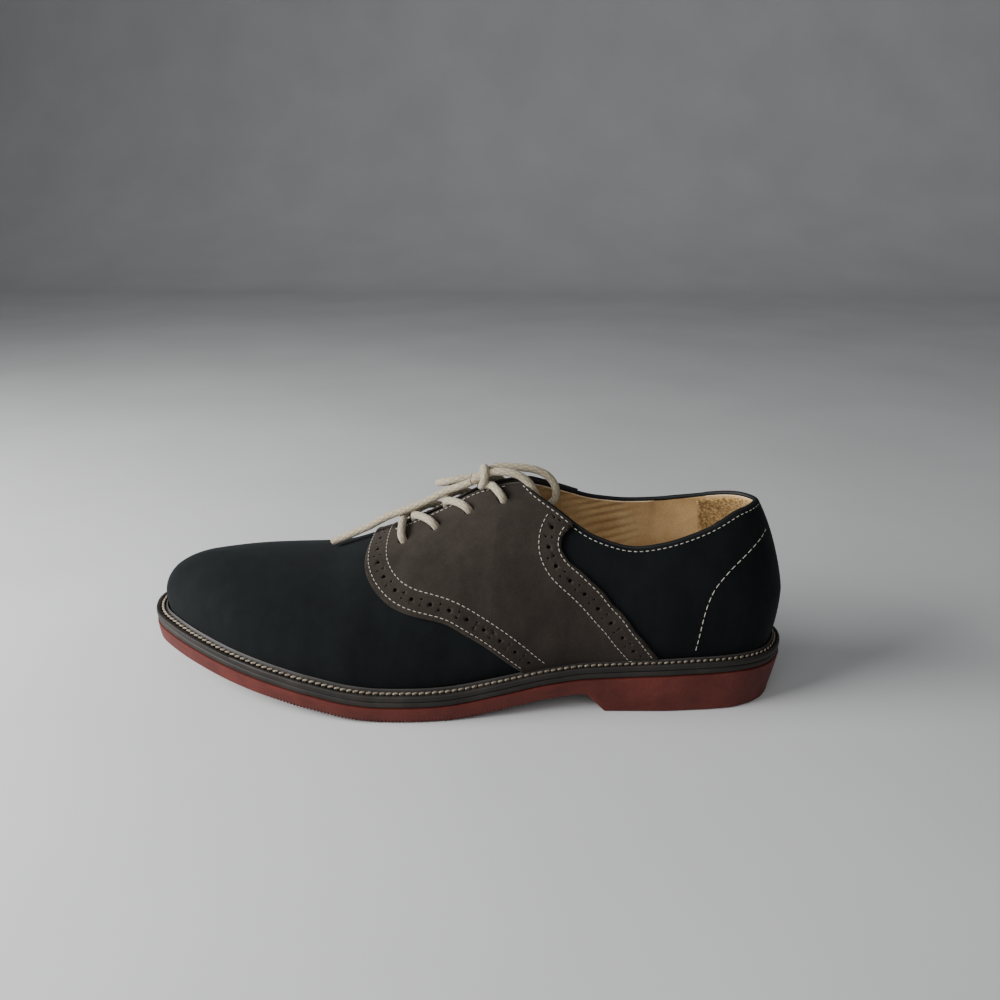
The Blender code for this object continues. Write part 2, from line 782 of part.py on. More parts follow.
def smooth_route(points):
    """Points at even steps on a smooth curve through a route's own points."""
    rows = np.array(points)
    chords = np.linalg.norm(np.diff(rows, axis=0), axis=1)
    run = np.concatenate([[0], np.cumsum(chords)])
    count = max(4, round(run[-1] / CORD_STEP)) + 1
    marks = np.linspace(0, run[-1], count)
    slopes = np.gradient(rows, run, axis=0)
    at = np.clip(np.searchsorted(run, marks, side="right") - 1, 0, len(run) - 2)
    width = (run[at + 1] - run[at])[:, None]
    t = ((marks - run[at])[:, None]) / width
    low, high = rows[at], rows[at + 1]
    return (
        low * (1 + 2 * t) * (1 - t) ** 2
        + high * t**2 * (3 - 2 * t)
        + slopes[at] * width * t * (1 - t) ** 2
        - slopes[at + 1] * width * t**2 * (1 - t)
    )


def make_cord(name, radius, material):
    """A free stretch of the lace as a round tube along its route."""
    curve = bpy.data.curves.new(name, "CURVE")
    curve.dimensions = "3D"
    curve.bevel_depth = radius
    curve.bevel_resolution = 2
    curve.use_fill_caps = True
    points = smooth_route(ROUTES[name])
    line = curve.splines.new("POLY")
    line.points.add(len(points) - 1)
    for point, place in zip(line.points, points):
        point.co = (*place, 1)
    cord = bpy.data.objects.new(name, curve)
    cord.data.materials.append(material)
    return cord


def eyelet_cutter():
    """Round pins through both facings, square to the leather."""
    bm = bmesh.new()
    for index in range(EYELETS):
        s, hole = eyelet(index)
        for side in (OUTER, INNER):
            ends = [over_ridge(s, side, hole, lift) for lift in (-PIN_REACH, PIN_REACH)]
            tube(bm, ends, EYELET_RADIUS, EYELET_SIDES)
    return finished("eyelet_pins", bm, None)


def material(name, colour, roughness, metallic=0.0):
    made = bpy.data.materials.new(name)
    made.use_nodes = True
    shader = made.node_tree.nodes["Principled BSDF"]
    shader.inputs["Base Color"].default_value = (*colour, 1)
    shader.inputs["Roughness"].default_value = roughness
    shader.inputs["Metallic"].default_value = metallic
    return made


def stand_on_origin(pieces, followers):
    """Hangs everything on an empty that puts the base's middle over the origin."""
    bpy.context.view_layer.update()
    graph = bpy.context.evaluated_depsgraph_get()
    boxes = [piece.evaluated_get(graph).bound_box for piece in pieces]
    corners = np.array([corner[:] for box in boxes for corner in box])
    low, high = corners.min(axis=0), corners.max(axis=0)
    shoe = bpy.data.objects.new("shoe", None)
    shoe.location = (-(low[0] + high[0]) / 2, -(low[1] + high[1]) / 2, -low[2])
    bpy.context.scene.collection.objects.link(shoe)
    for piece in pieces + followers:
        piece.parent = shoe


def clear_scene():
    for obj in list(bpy.data.objects):
        bpy.data.objects.remove(obj, do_unlink=True)


def main():
    clear_scene()
    parts = bpy.data.collections.new("saddle_shoe")
    cutters = bpy.data.collections.new("cutters")
    for collection in (parts, cutters):
        bpy.context.scene.collection.children.link(collection)
    suede = material("dark_suede", (0.010, 0.013, 0.018), 0.95)
    saddle_suede = material("brown_suede", (0.055, 0.040, 0.032), 0.95)
    rubber = material("red_rubber", (0.165, 0.032, 0.020), 0.6)
    edge_brown = material("edge_brown", (0.045, 0.032, 0.025), 0.7)
    lining = material("tan_lining", (0.45, 0.27, 0.12), 0.6)
    lace = material("lace_cotton", (0.55, 0.47, 0.36), 0.9)
    outline = saddle_outline()
    pins = eyelet_cutter()
    pieces = [
        make_outsole(rubber),
        make_midsole(edge_brown),
        make_welt(edge_brown),
        make_insole(lining),
        make_upper(suede, pins),
        make_saddle(saddle_suede, outline, pins),
        make_tongue(suede),
        make_bar(lace),
    ]
    helpers = [outline, pins]
    for index in range(1, EYELETS):
        whole, joined = make_cross(index, lace)
        pieces.append(whole)
        helpers.append(joined)
    cords = [make_cord(name, KNOT_RADIUS if name == "lace_knot" else LACE_RADIUS, lace) for name in ROUTES]
    for piece in pieces + cords:
        parts.objects.link(piece)
    for helper in helpers:
        cutters.objects.link(helper)
        helper.hide_render = True
        helper.display_type = "WIRE"
    stand_on_origin(pieces, cords + helpers)


main()
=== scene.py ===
"""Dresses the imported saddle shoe: suede, lining, welt stitches, pinholes, laces, light and camera."""
import math

import bmesh
import bpy
import numpy as np
from mathutils import Matrix, Vector, noise
from mathutils.bvhtree import BVHTree


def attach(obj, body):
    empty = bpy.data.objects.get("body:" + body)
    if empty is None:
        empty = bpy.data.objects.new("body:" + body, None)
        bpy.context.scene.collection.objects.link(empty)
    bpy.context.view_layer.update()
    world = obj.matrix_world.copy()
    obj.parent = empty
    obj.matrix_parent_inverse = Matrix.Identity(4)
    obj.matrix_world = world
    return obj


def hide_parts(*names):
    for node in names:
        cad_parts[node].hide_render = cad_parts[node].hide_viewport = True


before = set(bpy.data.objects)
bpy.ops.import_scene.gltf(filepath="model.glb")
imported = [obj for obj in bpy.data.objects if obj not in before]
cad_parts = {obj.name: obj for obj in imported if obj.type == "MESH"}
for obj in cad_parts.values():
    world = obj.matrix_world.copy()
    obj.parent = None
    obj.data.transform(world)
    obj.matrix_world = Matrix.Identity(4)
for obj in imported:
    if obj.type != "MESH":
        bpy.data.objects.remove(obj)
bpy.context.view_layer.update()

# Driving sizes, as in the model
LENGTH = 0.3035
BALL_WIDTH = 0.103
INSTEP_HEIGHT = 0.098
HEEL_HEIGHT = 0.019
FOREPART_THICK = 0.0075
ARCH_RISE = 0.0088
TOE_SPRING = 0.017
MIDSOLE_THICK = 0.0029
WELT_THICK = 0.0027
WELT_OUT = 0.0065
WELT_OUT_HEEL = 0.0048
WELT_RING = 0.0110
WALL = 0.0022
OVERLAY = 0.0012
TONGUE_THICK = 0.0025
GAP = 0.0003
EDGE_ROUND = 0.0010
EDGE_TUCK = 0.0006
HEEL_TUCK = 0.0034
HEEL_TUCK_END = 0.08
BREAST_FOOT = 0.273
BREAST_TOP = 0.300
WELT_NARROW_END = 0.2
WELT_WIDE_START = 0.5
THROAT_FRONT = 0.598
THROAT_GAP_FRONT = 0.0024
THROAT_GAP_TOP = 0.0044
FACING_TOP = 0.410
EYELETS = 4
EYELET_FIRST = 0.577
EYELET_LAST = 0.426
EYELET_INSET_FIRST = 0.0125
EYELET_INSET_LAST = 0.0085
EYELET_RADIUS = 0.0024
LACE_RADIUS = 0.0018
LACE_BEND = 0.0024
TONGUE_TOP = 0.402
TONGUE_END = 0.640
TONGUE_HALF_TOP = 0.027
TONGUE_HALF_END = 0.021
TONGUE_GAP = 0.0007

# Outline of the sole's top edge. The lengths are shares of LENGTH, the widths of BALL_WIDTH.
PLAN_COLUMNS = ("station", "centre", "half_width")
PLAN = (
    (0.00, 0.000, 0.000),
    (0.03, 0.001, 0.199),
    (0.06, 0.002, 0.253),
    (0.10, 0.003, 0.288),
    (0.14, 0.005, 0.306),
    (0.20, 0.009, 0.323),
    (0.31, 0.027, 0.327),
    (0.36, 0.042, 0.335),
    (0.44, 0.050, 0.377),
    (0.53, 0.039, 0.442),
    (0.60, 0.016, 0.482),
    (0.66, 0.000, 0.498),
    (0.71, -0.020, 0.498),
    (0.76, -0.035, 0.481),
    (0.83, -0.050, 0.430),
    (0.90, -0.064, 0.340),
    (0.95, -0.073, 0.247),
    (0.98, -0.078, 0.169),
    (1.00, -0.080, 0.000),
)

# Side of the sole. heel is a share of HEEL_HEIGHT above the forepart,
# arch a share of ARCH_RISE and spring a share of TOE_SPRING.
SIDE_COLUMNS = ("station", "heel", "arch", "spring")
SIDE = (
    (0.00, 1.00, 1.00, 0.00),
    (0.14, 0.95, 1.00, 0.00),
    (0.27, 0.82, 1.00, 0.00),
    (0.31, 0.76, 0.98, 0.00),
    (0.36, 0.60, 0.80, 0.00),
    (0.40, 0.42, 0.52, 0.00),
    (0.44, 0.25, 0.27, 0.00),
    (0.48, 0.09, 0.06, 0.00),
    (0.51, 0.02, 0.00, 0.00),
    (0.55, 0.00, 0.00, 0.00),
    (0.60, 0.00, 0.00, 0.00),
    (0.65, 0.00, 0.00, 0.08),
    (0.71, 0.00, 0.00, 0.24),
    (0.79, 0.00, 0.00, 0.47),
    (0.86, 0.00, 0.00, 0.68),
    (0.93, 0.00, 0.00, 0.86),
    (1.00, 0.00, 0.00, 1.00),
)

# Sections of the last, as in the model
SECTION_COLUMNS = ("station", "ridge", "ridge_y", "swell", "swell_height", "side", "top")
SECTION = (
    (0.00, 1.090, 0.000, 0.028, 0.250, 2.00, 1.30),
    (0.06, 1.080, 0.004, 0.029, 0.240, 2.00, 1.35),
    (0.14, 1.040, 0.008, 0.030, 0.210, 1.95, 1.60),
    (0.24, 1.020, 0.010, 0.030, 0.170, 1.85, 1.85),
    (0.33, 1.020, 0.008, 0.030, 0.140, 1.80, 1.90),
    (0.41, 1.000, 0.000, 0.026, 0.120, 1.80, 1.85),
    (0.46, 0.955, -0.010, 0.019, 0.110, 1.80, 1.80),
    (0.52, 0.850, -0.020, 0.015, 0.100, 1.85, 1.80),
    (0.58, 0.755, -0.028, 0.013, 0.095, 1.90, 1.85),
    (0.64, 0.680, -0.036, 0.013, 0.090, 2.00, 1.90),
    (0.70, 0.617, -0.043, 0.013, 0.085, 2.10, 1.95),
    (0.78, 0.592, -0.050, 0.013, 0.080, 2.20, 2.00),
    (0.87, 0.582, -0.056, 0.010, 0.075, 2.20, 2.05),
    (1.00, 0.577, -0.060, 0.008, 0.070, 2.15, 2.10),
)

# Height of the collar's edge over the floor on each side, as shares of INSTEP_HEIGHT
COLLAR_COLUMNS = ("station", "outer", "inner")
COLLAR = (
    (0.00, 0.935, 0.935),
    (0.05, 0.920, 0.922),
    (0.09, 0.884, 0.906),
    (0.12, 0.853, 0.893),
    (0.155, 0.822, 0.879),
    (0.19, 0.796, 0.864),
    (0.236, 0.778, 0.858),
    (0.29, 0.815, 0.876),
    (0.35, 0.922, 0.942),
    (0.40, 1.002, 1.010),
    (0.44, 1.120, 1.120),
)

# Edges of the saddle from the side. height is a share of INSTEP_HEIGHT.
SADDLE_COLUMNS = ("height", "front", "rear")
SADDLE = (
    (0.100, 0.365, 0.150),
    (0.150, 0.379, 0.165),
    (0.215, 0.399, 0.184),
    (0.300, 0.428, 0.206),
    (0.370, 0.457, 0.222),
    (0.418, 0.482, 0.235),
    (0.458, 0.505, 0.243),
    (0.474, 0.524, 0.247),
    (0.490, 0.553, 0.251),
    (0.518, 0.583, 0.260),
    (0.548, 0.601, 0.270),
    (0.587, 0.618, 0.279),
    (0.646, 0.634, 0.300),
    (0.675, 0.636, 0.310),
    (0.730, 0.630, 0.333),
    (0.785, 0.625, 0.343),
    (0.820, 0.620, 0.342),
    (0.870, 0.620, 0.328),
    (0.950, 0.620, 0.310),
    (1.200, 0.620, 0.300),
)
RIDGE_SHARE = 0.80
SADDLE_HALF_WIDTH = 0.09
SADDLE_LIFT = 0.0006
SADDLE_FROM = 0.13
SADDLE_TO = 0.67
SADDLE_STEPS = 140

# Counter's stitch row from the side: height as a share of INSTEP_HEIGHT
COUNTER_COLUMNS = ("height", "station")
COUNTER = (
    (0.262, 0.1435),
    (0.368, 0.1395),
    (0.490, 0.1340),
    (0.585, 0.1240),
    (0.670, 0.1030),
    (0.740, 0.0770),
    (0.800, 0.0520),
    (0.850, 0.0300),
)

# Ends of the spine that the columns of the round toe and heel lean to, as shares of LENGTH
SPINE_HEEL = 0.115
SPINE_TOE = 0.860
SPINE_STEP = 0.25
SPINE_BLEND = 0.03
SPINE_HEEL_END = 0.2
RIM_BLEND = 0.02

# Resolution of the dressed meshes
DENSE = 3000
SIDE_REACH = 0.2
UPPER_COLUMNS = 190
LOW_ROWS = 9
HIGH_ROWS = 34
SOLE_COLUMNS = 420
WELT_COLUMNS = 900
FOOTBED_COLUMNS = 220
PROBE = 0.0004
STATION_SLACK = 1e-6

OUTER, INNER = 1, -1


def hermite(low, high, rise, fall, width, t):
    """A cubic from low to high, with the slopes rise and fall at its ends. t runs from 0 to 1."""
    return (
        low * (1 + 2 * t) * (1 - t) ** 2
        + high * t**2 * (3 - 2 * t)
        + width * rise * t * (1 - t) ** 2
        - width * fall * t**2 * (1 - t)
    )


def smooth_curve(xs, ys):
    """A monotone cubic through the points, as a function of numbers or arrays."""
    xs = np.asarray(xs, float)
    ys = np.asarray(ys, float)
    step = np.diff(xs)
    slope = np.diff(ys) / step
    tangent = np.zeros(len(xs))
    tangent[0], tangent[-1] = slope[0], slope[-1]
    for i in range(1, len(xs) - 1):
        before, after = slope[i - 1], slope[i]
        if before * after > 0:
            wide = 2 * step[i] + step[i - 1]
            narrow = step[i] + 2 * step[i - 1]
            tangent[i] = (wide + narrow) / (wide / before + narrow / after)

    def curve(x):
        x = np.clip(np.asarray(x, float), xs[0], xs[-1])
        i = np.clip(np.searchsorted(xs, x, side="right") - 1, 0, len(xs) - 2)
        width = xs[i + 1] - xs[i]
        return hermite(ys[i], ys[i + 1], tangent[i], tangent[i + 1], width, (x - xs[i]) / width)

    return curve


def column(rows, names, name):
    """One column of a table as a smooth function of the first one."""
    at = names.index(name)
    return smooth_curve([row[0] for row in rows], [row[at] for row in rows])


plan_centre = column(PLAN, PLAN_COLUMNS, "centre")
plan_square = smooth_curve([row[0] for row in PLAN], [row[2] ** 2 for row in PLAN])
side_heel = column(SIDE, SIDE_COLUMNS, "heel")
side_arch = column(SIDE, SIDE_COLUMNS, "arch")
side_spring = column(SIDE, SIDE_COLUMNS, "spring")
section = {name: column(SECTION, SECTION_COLUMNS, name) for name in SECTION_COLUMNS[1:]}
collar = {OUTER: column(COLLAR, COLLAR_COLUMNS, "outer"), INNER: column(COLLAR, COLLAR_COLUMNS, "inner")}
saddle_front = column(SADDLE, SADDLE_COLUMNS, "front")
saddle_rear = column(SADDLE, SADDLE_COLUMNS, "rear")
counter_line = column(COUNTER, COUNTER_COLUMNS, "station")


def soft_min(a, b, blend):
    return -blend * np.logaddexp(-a / blend, -b / blend)


def soft_max(a, b, blend):
    return blend * np.logaddexp(a / blend, b / blend)


def smooth_step(low, high, x):
    t = np.clip((np.asarray(x, float) - low) / (high - low), 0, 1)
    return t * t * (3 - 2 * t)


def run_along(rows):
    """Length of a line from its first point to each of its points."""
    return np.concatenate([[0], np.cumsum(np.linalg.norm(np.diff(rows, axis=0), axis=1))])


def outsole_top(s):
    return FOREPART_THICK + side_heel(s) * (HEEL_HEIGHT - FOREPART_THICK) + side_spring(s) * TOE_SPRING


def tread(s):
    """Height of the tread: flat under the heel, up the breast, over the arch, then the toe spring."""
    rise = np.clip((s - BREAST_FOOT) / (BREAST_TOP - BREAST_FOOT), 0, 1)
    return rise * side_arch(s) * ARCH_RISE + side_spring(s) * TOE_SPRING


def welt_share(s):
    """0 around the heel, where the welt is narrow, 1 around the forepart."""
    return np.clip((s - WELT_NARROW_END) / (WELT_WIDE_START - WELT_NARROW_END), 0, 1)


def feather_inset(s):
    """How far the welt stands out around the upper."""
    return WELT_OUT_HEEL + (WELT_OUT - WELT_OUT_HEEL) * welt_share(s)


# The sole's edge, dense, as angles that crowd at both round ends
angles = np.linspace(0, math.pi, DENSE)
dense_s = (1 - np.cos(angles)) / 2


def dense_edge(side):
    half = np.sqrt(np.clip(plan_square(dense_s), 0, None))
    return np.stack([dense_s * LENGTH, (plan_centre(dense_s) + side * half) * BALL_WIDTH], axis=1)


def dense_normals(side):
    tangent = np.gradient(dense_edge(side), axis=0)
    tangent[0] = (0, side)
    tangent[-1] = (0, -side)
    tangent /= np.linalg.norm(tangent, axis=1)[:, None]
    return np.stack([tangent[:, 1], -tangent[:, 0]], axis=1) * side


edge = {side: dense_edge(side) for side in (OUTER, INNER)}
inward = {side: dense_normals(side) for side in (OUTER, INNER)}
middle_line = (edge[OUTER] + edge[INNER] * (1, -1)) / 2
dense_run = run_along(middle_line)
whole_run = dense_run[-1]

# The shoe's own frame starts at the back of the heel; the row's has the base's middle at its origin
SHIFT = Vector((-LENGTH / 2, -(edge[OUTER][:, 1].max() + edge[INNER][:, 1].min()) / 2, 0))


def edge_point(s, side, inset):
    """A point of the sole's outline, moved in by an inset at right angles to it."""
    s = np.asarray(s, float)
    base = np.stack([np.interp(s, dense_s, edge[side][:, k]) for k in (0, 1)], axis=-1)
    move = np.stack([np.interp(s, dense_s, inward[side][:, k]) for k in (0, 1)], axis=-1)
    return base + move * np.asarray(inset)[..., None]


def even_stations(count, wanted=()):
    """Stations at even steps along the outline, some of them moved to wanted places."""
    found = np.interp(np.linspace(0, whole_run, count + 1), dense_run, dense_s)
    for place in wanted:
        found[np.abs(found - place).argmin()] = place
    return found


def welt_base(s):
    return outsole_top(s) + MIDSOLE_THICK + 2 * GAP


def upper_floor(s):
    return welt_base(s) + WELT_THICK + GAP


def spine(s):
    """The point of the ridge that a column of the upper leans to."""
    run = np.interp(s, dense_s, dense_run)
    along = np.asarray(s, float) * LENGTH
    blend = SPINE_BLEND * LENGTH
    toe_line = SPINE_TOE * LENGTH - SPINE_STEP * (whole_run - run)
    heel_line = SPINE_HEEL * LENGTH + SPINE_STEP * run
    x = soft_max(soft_min(along, toe_line, blend), heel_line, blend)
    at = x / LENGTH
    return x, section["ridge_y"](at) * BALL_WIDTH, section["ridge"](at) * INSTEP_HEIGHT


def column_shape(s, side):
    """Foot, spine and powers of one column of the upper."""
    foot = edge_point(s, side, feather_inset(s))
    x, y, ridge = spine(s)
    heel = section["ridge"](s) * INSTEP_HEIGHT
    ridge += (heel - ridge) * np.clip(2 - 2 * s / SPINE_HEEL_END, 0, 1)
    reach = math.hypot(foot[0] - x, foot[1] - y)
    return {
        "foot": foot,
        "spine": np.array([x, y]),
        "floor": float(upper_floor(foot[0] / LENGTH)),
        "ridge": float(ridge),
        "reach": reach,
        "swell": float(section["swell"](s)) * BALL_WIDTH,
        "swell_height": float(section["swell_height"](s)) * INSTEP_HEIGHT,
        "side": float(section["side"](s)),
        "top": float(section["top"](s)),
    }


def gap_at(s):
    """Half the throat's opening."""
    share = np.clip((THROAT_FRONT - s) / (THROAT_FRONT - FACING_TOP), 0, 1)
    return THROAT_GAP_FRONT + share * (THROAT_GAP_TOP - THROAT_GAP_FRONT)


def cut_angle(s, side, shape):
    """Where the column ends: at the ridge, at the throat's edge or at the collar."""
    if s >= THROAT_FRONT - STATION_SLACK:
        return math.pi / 2
    widest = shape["reach"] + shape["swell"]
    throat = math.acos(min(1.0, (gap_at(s) / widest) ** (shape["side"] / 2)))
    rise = shape["ridge"] - shape["floor"] - shape["swell_height"]
    level = float(collar[side](s)) * INSTEP_HEIGHT - shape["floor"] - shape["swell_height"]
    share = (level / rise) ** (shape["top"] / 2)
    top = math.asin(share) if share < 1 else math.pi / 2 + 2 * (share - 1)
    return float(soft_min(throat, top, RIM_BLEND))


def column_point(shape, height_share=None, angle=None):
    """A point of the column: below the swell by its share of the height, above it by its angle."""
    widest = shape["reach"] + shape["swell"]
    if angle is None:
        r = shape["reach"] + shape["swell"] * (1 - (1 - height_share) ** 2)
        z = shape["floor"] + shape["swell_height"] * height_share
    else:
        rise = shape["ridge"] - shape["floor"] - shape["swell_height"]
        r = widest * max(0.0, math.cos(angle)) ** (2 / shape["side"])
        z = shape["floor"] + shape["swell_height"] + rise * math.sin(angle) ** (2 / shape["top"])
    away = (shape["foot"] - shape["spine"]) / shape["reach"]
    flat = shape["spine"] + away * r
    return Vector((flat[0], flat[1], z))


def side_line(tree, places, side):
    """Points of the upper's outside, found from the side at places (station, height)."""
    points = []
    for s, z in places:
        start = Vector((s * LENGTH, side * SIDE_REACH, z))
        found, normal, _, _ = tree.ray_cast(start, Vector((0, -side, 0)))
        if found is not None and side * normal.y > 0:
            points.append(found)
    return points


def sheet(bm, rows):
    """Faces between neighbouring rows of vertices. A vertex that comes twice in a face counts once."""
    for here, there in zip(rows, rows[1:]):
        for k in range(len(here) - 1):
            bm.faces.new(dict.fromkeys((here[k], there[k], there[k + 1], here[k + 1])))


def upper_surface(stations, first=0.0, end=1.0, rows=HIGH_ROWS):
    """The open outside of the upper, and its rims as lists of (station, point)."""
    bm = bmesh.new()
    grid = {}
    rims = {OUTER: [], INNER: []}
    picked = [s for s in stations if first <= s <= end]
    for i, s in enumerate(picked):
        for side in (OUTER, INNER):
            if s in (stations[0], stations[-1]) and side == INNER:
                grid[i, side] = grid[i, OUTER]
                continue
            shape = column_shape(s, side)
            top = cut_angle(s, side, shape)
            points = [column_point(shape, height_share=k / LOW_ROWS) for k in range(LOW_ROWS)]
            points += [column_point(shape, angle=top * k / rows) for k in range(rows + 1)]
            verts = [bm.verts.new(point) for point in points[:-1]]
            shared = side == INNER and s >= THROAT_FRONT - STATION_SLACK
            verts.append(grid[i, OUTER][-1] if shared else bm.verts.new(points[-1]))
            grid[i, side] = verts
            if s < THROAT_FRONT - STATION_SLACK:
                rims[side].append((s, points[-1].copy()))
    for i in range(len(picked) - 1):
        for side in (OUTER, INNER):
            sheet(bm, (grid[i, side], grid[i + 1, side]))
    bmesh.ops.recalc_face_normals(bm, faces=bm.faces)
    probe = max(bm.faces, key=lambda face: face.calc_center_median().y)
    if probe.normal.y < 0:
        bmesh.ops.reverse_faces(bm, faces=bm.faces)
    bm.normal_update()
    return bm, rims


def ruffle(point):
    """The slight unevenness of lasted suede, in metres."""
    slow = noise.noise(point * 28 + Vector((3.1, 0.4, 1.7)))
    return 0.00022 * slow + 0.00006 * noise.noise(point * 120)


def push(bm, distance):
    """Moves each point of a surface along its normal, by what distance gives there."""
    bm.normal_update()
    for v, move in [(v, v.normal * distance(v.co)) for v in bm.verts]:
        v.co += move
    bm.normal_update()


# Objects


def shown(obj):
    """Puts a piece built in the shoe's own frame into the row's, on the shoe's one body."""
    obj.data.transform(Matrix.Translation(SHIFT))
    bpy.context.scene.collection.objects.link(obj)
    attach(obj, "root")
    return obj


def mesh_object(name, bm, materials, sharp=40):
    mesh = bpy.data.meshes.new(name)
    bm.to_mesh(mesh)
    bm.free()
    mesh.shade_smooth()
    mesh.set_sharp_from_angle(angle=math.radians(sharp))
    for item in materials:
        mesh.materials.append(item)
    return bpy.data.objects.new(name, mesh)


def baked(obj):
    """Applies an object's modifiers to its mesh."""
    bpy.context.scene.collection.objects.link(obj)
    bpy.context.view_layer.update()
    graph = bpy.context.evaluated_depsgraph_get()
    mesh = bpy.data.meshes.new_from_object(obj.evaluated_get(graph))
    old = obj.data
    obj.modifiers.clear()
    obj.data = mesh
    mesh.name = obj.name
    bpy.data.meshes.remove(old)
    bpy.context.scene.collection.objects.unlink(obj)
    return obj


def solidify(obj, thickness, offset, rim=None, even=True):
    wall = obj.modifiers.new("wall", "SOLIDIFY")
    wall.thickness = thickness
    wall.offset = offset
    wall.use_even_offset = even
    if rim is not None:
        wall.material_offset_rim = rim


def carve(obj, cutter, operation):
    cut = obj.modifiers.new(cutter.name, "BOOLEAN")
    cut.operation = operation
    cut.solver = "EXACT"
    cut.object = cutter


def helper(name, bm):
    """A hidden cutter."""
    bmesh.ops.recalc_face_normals(bm, faces=bm.faces)
    mesh = bpy.data.meshes.new(name)
    bm.to_mesh(mesh)
    bm.free()
    obj = bpy.data.objects.new(name, mesh)
    bpy.context.scene.collection.objects.link(obj)
    obj.hide_render = True
    return obj


def closed_piece(name, bm, materials, sharp):
    """A shown piece of closed solids, with their faces turned outward."""
    bmesh.ops.recalc_face_normals(bm, faces=bm.faces)
    return shown(mesh_object(name, bm, materials, sharp))


def bridge(bm, low, high):
    """Faces between two closed rings of vertices."""
    count = len(low)
    for i in range(count):
        j = (i + 1) % count
        bm.faces.new((low[i], low[j], high[j], high[i]))


def loft(bm, rings):
    for low, high in zip(rings, rings[1:]):
        bridge(bm, low, high)


def tube(bm, points, radius, sides):
    """A round cord through the points. radius is one number or one for each point."""
    points = [Vector(point) for point in points]
    steps = [(b - a).normalized() for a, b in zip(points, points[1:])]
    heads = [steps[0]] + [(a + b).normalized() for a, b in zip(steps, steps[1:])] + [steps[-1]]
    across = heads[0].orthogonal().normalized()
    turns = [2 * math.pi * k / sides for k in range(sides)]
    rings = []
    for i, (point, head) in enumerate(zip(points, heads)):
        across = (across - head * across.dot(head)).normalized()
        other = head.cross(across)
        size = radius if isinstance(radius, float) else radius[i]
        circle = [across * math.cos(t) + other * math.sin(t) for t in turns]
        rings.append([bm.verts.new(point + arm * size) for arm in circle])
    loft(bm, rings)
    bm.faces.new(rings[0][::-1])
    bm.faces.new(rings[-1])
    return rings


# Materials


class Nodes:
    """Short calls for a material's nodes."""

    def __init__(self, name):
        self.made = bpy.data.materials.new(name)
        self.made.use_nodes = True
        self.tree = self.made.node_tree
        self.shader = self.tree.nodes["Principled BSDF"]

    def add(self, kind, **values):
        node = self.tree.nodes.new(kind)
        for key, value in values.items():
            setattr(node, key, value)
        return node

    def link(self, source, target):
        self.tree.links.new(source, target)

    def place(self, stretch=(1, 1, 1)):
        """Object coordinates, stretched."""
        coords = self.add("ShaderNodeTexCoord")
        mapping = self.add("ShaderNodeMapping")
        mapping.inputs["Scale"].default_value = stretch
        self.link(coords.outputs["Object"], mapping.inputs["Vector"])
        return mapping.outputs["Vector"]

    def noise(self, scale, detail=2.0, rough=0.5, stretch=(1, 1, 1)):
        node = self.add("ShaderNodeTexNoise")
        node.inputs["Scale"].default_value = scale
        node.inputs["Detail"].default_value = detail
        node.inputs["Roughness"].default_value = rough
        self.link(self.place(stretch), node.inputs["Vector"])
        return node.outputs["Fac"]

    def ramp(self, fac, stops):
        node = self.add("ShaderNodeValToRGB")
        elements = node.color_ramp.elements
        while len(elements) < len(stops):
            elements.new(0.5)
        for element, (place, colour) in zip(elements, stops):
            element.position = place
            element.color = (*colour, 1)
        self.link(fac, node.inputs["Fac"])
        return node.outputs["Color"]

    def mix(self, fac, a, b, blend="MIX"):
        node = self.add("ShaderNodeMix", data_type="RGBA", blend_type=blend)
        if isinstance(fac, float):
            node.inputs["Factor"].default_value = fac
        else:
            self.link(fac, node.inputs["Factor"])
        for socket, value in ((node.inputs[6], a), (node.inputs[7], b)):
            if isinstance(value, tuple):
                socket.default_value = (*value, 1)
            else:
                self.link(value, socket)
        return node.outputs[2]

    def maths(self, operation, a, b):
        node = self.add("ShaderNodeMath", operation=operation)
        for socket, value in ((node.inputs[0], a), (node.inputs[1], b)):
            if isinstance(value, (int, float)):
                socket.default_value = value
            else:
                self.link(value, socket)
        return node.outputs[0]

    def bump(self, height, distance, strength=1.0, normal=None):
        node = self.add("ShaderNodeBump")
        node.inputs["Strength"].default_value = strength
        node.inputs["Distance"].default_value = distance
        self.link(height, node.inputs["Height"])
        if normal is not None:
            self.link(normal, node.inputs["Normal"])
        return node.outputs["Normal"]

    def finish(self, colour, roughness, normal=None, **fixed):
        self.link(colour, self.shader.inputs["Base Color"])
        if isinstance(roughness, float):
            self.shader.inputs["Roughness"].default_value = roughness
        else:
            self.link(roughness, self.shader.inputs["Roughness"])
        if normal is not None:
            self.link(normal, self.shader.inputs["Normal"])
        for key, value in fixed.items():
            self.shader.inputs[key.replace("_", " ")].default_value = value
        return self.made


def suede(name, deep, base, nap, sheen_tint, sheen):
    """Nubuck: brushed patches, a fine short nap and a soft sheen."""
    n = Nodes(name)
    patches = n.ramp(n.noise(38, 4, 0.6), [(0.30, deep), (0.52, base), (0.78, nap)])
    brushed = n.ramp(n.noise(160, 3, 0.65, (1, 1, 0.35)), [(0.35, deep), (0.65, nap)])
    colour = n.mix(0.30, patches, brushed)
    grain = n.ramp(n.noise(2600, 2, 0.7), [(0.30, (0.55, 0.55, 0.55)), (0.70, (1.45, 1.45, 1.45))])
    colour = n.mix(0.65, colour, grain, "MULTIPLY")
    nap_bump = n.bump(n.noise(2200, 2, 0.7), 0.00014, 0.5)
    soft_bump = n.bump(n.noise(300, 3, 0.6), 0.00022, 0.35, nap_bump)
    return n.finish(
        colour,
        0.95,
        soft_bump,
        Sheen_Weight=sheen,
        Sheen_Roughness=0.45,
        Sheen_Tint=(*sheen_tint, 1),
        Specular_IOR_Level=0.15,
    )


